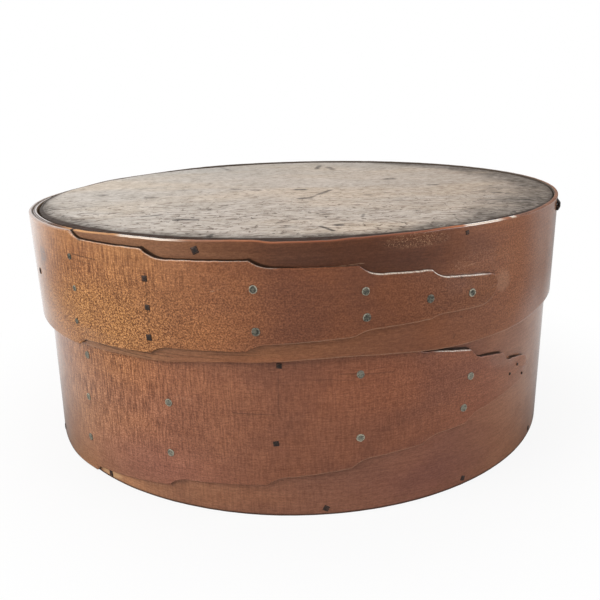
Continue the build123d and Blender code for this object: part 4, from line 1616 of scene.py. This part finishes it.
def camera_frame(turn):
    """The camera's own axes from its pitch down, its turn and its tilt."""
    pitch, yaw, roll = turn
    forward = Vector((sin(yaw) * cos(pitch), cos(yaw) * cos(pitch), -sin(pitch)))
    right = Vector((cos(yaw), -sin(yaw), 0))
    up = right.cross(forward)
    across = cos(roll) * right + sin(roll) * up
    upward = -sin(roll) * right + cos(roll) * up
    return Matrix((across, upward, -forward)).transposed()


def add_soft_light(name, place, aim, size, power, shade):
    light = bpy.data.lights.new(name, "AREA")
    light.shape = "DISK"
    light.size = size
    light.energy = power
    light.color = shade
    lamp = bpy.data.objects.new(name, light)
    lamp.location = place
    lamp.rotation_euler = (Vector(aim) - Vector(place)).to_track_quat("-Z", "Y").to_euler()
    bpy.context.scene.collection.objects.link(lamp)


def seen_directly(path):
    """Where the camera looks, straight or through something clear."""
    return most(path["Is Camera Ray"], path["Is Transmission Ray"])


def studio_world(surround):
    """Even light all round. The camera sees white, and reflections see white behind the box and a
    dim room in front of it."""
    world = bpy.data.worlds.new("Studio surround")
    world.use_nodes = True
    tree = world.node_tree
    path = outputs_of(put(tree, "ShaderNodeLightPath"))
    aim = Value(put(tree, "ShaderNodeTexCoord").outputs["Generated"])
    # Dim in front of the box and white behind it
    back = vectors("DOT_PRODUCT", aim, (-0.1, 1, 0), "Value")
    glossy = path["Is Glossy Ray"] * window(back, 0.0, 0.6, 0.06, 1.0)
    plain = (1 - path["Is Glossy Ray"]) * surround
    fill(tree.nodes["Background"], {
        "Color": (1, 1, 1), "Strength": most(glossy + plain, seen_directly(path))})
    bpy.context.scene.world = world


def floor_in_reflections(place):
    """How bright the floor looks in a reflection: dim in front and white behind, less so at the right."""
    x, y, _ = parts_of(place)
    away = length_of(place)
    turn = y / sums("ABSOLUTE", x)
    seen = window(turn, window(away, 0.25, 0.45, -0.9, 0.0), 0.8, 0.06, 1.0)
    dimmed_right = window(x, -0.05, 0.1) * window(away, 0.25, 0.45, 0.3, 0.62)
    return seen * (1 - dimmed_right)


def studio_floor():
    """A pale floor that shows white and keeps a soft shadow."""
    bm = bmesh.new()
    bmesh.ops.create_grid(bm, x_segments=1, y_segments=1, size=6.0)
    floor = finished("floor", bm)
    material, tree, shader = new_material("Pale floor")
    fill(shader, {"Base Color": (0.8, 0.8, 0.8), "Roughness": 0.9, "Specular IOR Level": 0.0})
    place = object_place(tree)
    path = outputs_of(put(tree, "ShaderNodeLightPath"))
    seen, glossy = seen_directly(path), path["Is Glossy Ray"]
    share = most(seen * window(length_of(place), 0.155, 0.27, 0.88, 1.0), glossy)
    strength = most(seen, glossy * floor_in_reflections(place))
    white = made("ShaderNodeEmission", {"Color": (1, 1, 1), "Strength": strength})
    blend = made("ShaderNodeMixShader", {0: share, 1: Value(shader.outputs[0]), 2: white})
    fill(tree.nodes["Material Output"], {"Surface": blend})
    floor.data.materials.append(material)


class CHEESEBOX_OT_studio(bpy.types.Operator):
    """Set up the floor, the lamps and the camera"""
    bl_idname = "cheesebox.studio"
    bl_label = "Studio"

    def execute(self, context):
        scene = context.scene
        studio = scene.studio_settings
        scene.view_settings.view_transform = "Standard"
        studio_world(studio.surround)
        studio_floor()
        middle = (0, 0, LID_HIGH.z / 2)
        add_soft_light("key", (-1.12, -0.66, 0.92), middle, 1.0, studio.key_power, (1.0, 0.985, 0.96))
        add_soft_light("fill", (1.15, -0.45, 0.55), middle, 0.9, studio.fill_power, (0.97, 0.985, 1.0))
        add_soft_light("top", (-0.15, 0.55, 1.35), middle, 1.2, studio.top_power, (1.0, 1.0, 1.0))
        camera = bpy.data.cameras.new("camera")
        camera.lens = studio.camera_lens
        camera.sensor_width = 36.0
        camera.clip_start = 0.01
        holder = bpy.data.objects.new("camera", camera)
        holder.location = studio.camera_place
        holder.rotation_euler = camera_frame(studio.camera_turn).to_euler()
        scene.collection.objects.link(holder)
        scene.camera = holder
        return {"FINISHED"}


class CHEESEBOX_PT_panel(bpy.types.Panel):
    """Lists the pieces and their sizes"""
    bl_idname = "CHEESEBOX_PT_panel"
    bl_label = "Cheese Box"
    bl_space_type = "VIEW_3D"
    bl_region_type = "UI"
    bl_category = "Cheese Box"

    def draw(self, context):
        layout = self.layout
        for operator in OPERATORS:
            layout.operator(operator.bl_idname)
        for name in PROPERTIES:
            group = getattr(context.scene, name)
            for prop in group.bl_rna.properties:
                if prop.identifier not in ("rna_type", "name"):
                    layout.prop(group, prop.identifier)


OPERATORS = (
    CHEESEBOX_OT_studio,
    CHEESEBOX_OT_base_band,
    CHEESEBOX_OT_lid_band,
    CHEESEBOX_OT_lid_board,
    CHEESEBOX_OT_bottom_board,
    CHEESEBOX_OT_lap_tacks,
    CHEESEBOX_OT_iron,
)
PROPERTIES = {
    "band_sizes": BandSizes,
    "board_sizes": BoardSizes,
    "fastener_sizes": FastenerSizes,
    "finish_colours": FinishColours,
    "studio_settings": StudioSettings,
}


def register():
    for group in PROPERTIES.values():
        bpy.utils.register_class(group)
    for operator in OPERATORS:
        bpy.utils.register_class(operator)
    bpy.utils.register_class(CHEESEBOX_PT_panel)
    for name, group in PROPERTIES.items():
        setattr(bpy.types.Scene, name, bpy.props.PointerProperty(type=group))


def unregister():
    for name in PROPERTIES:
        delattr(bpy.types.Scene, name)
    bpy.utils.unregister_class(CHEESEBOX_PT_panel)
    for operator in reversed(OPERATORS):
        bpy.utils.unregister_class(operator)
    for group in reversed(PROPERTIES.values()):
        bpy.utils.unregister_class(group)


def main():
    """Builds every piece round the frame."""
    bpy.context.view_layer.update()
    register()
    for operator in OPERATORS:
        group, name = operator.bl_idname.split(".")
        getattr(getattr(bpy.ops, group), name)()


if __name__ == "__main__":
    main()
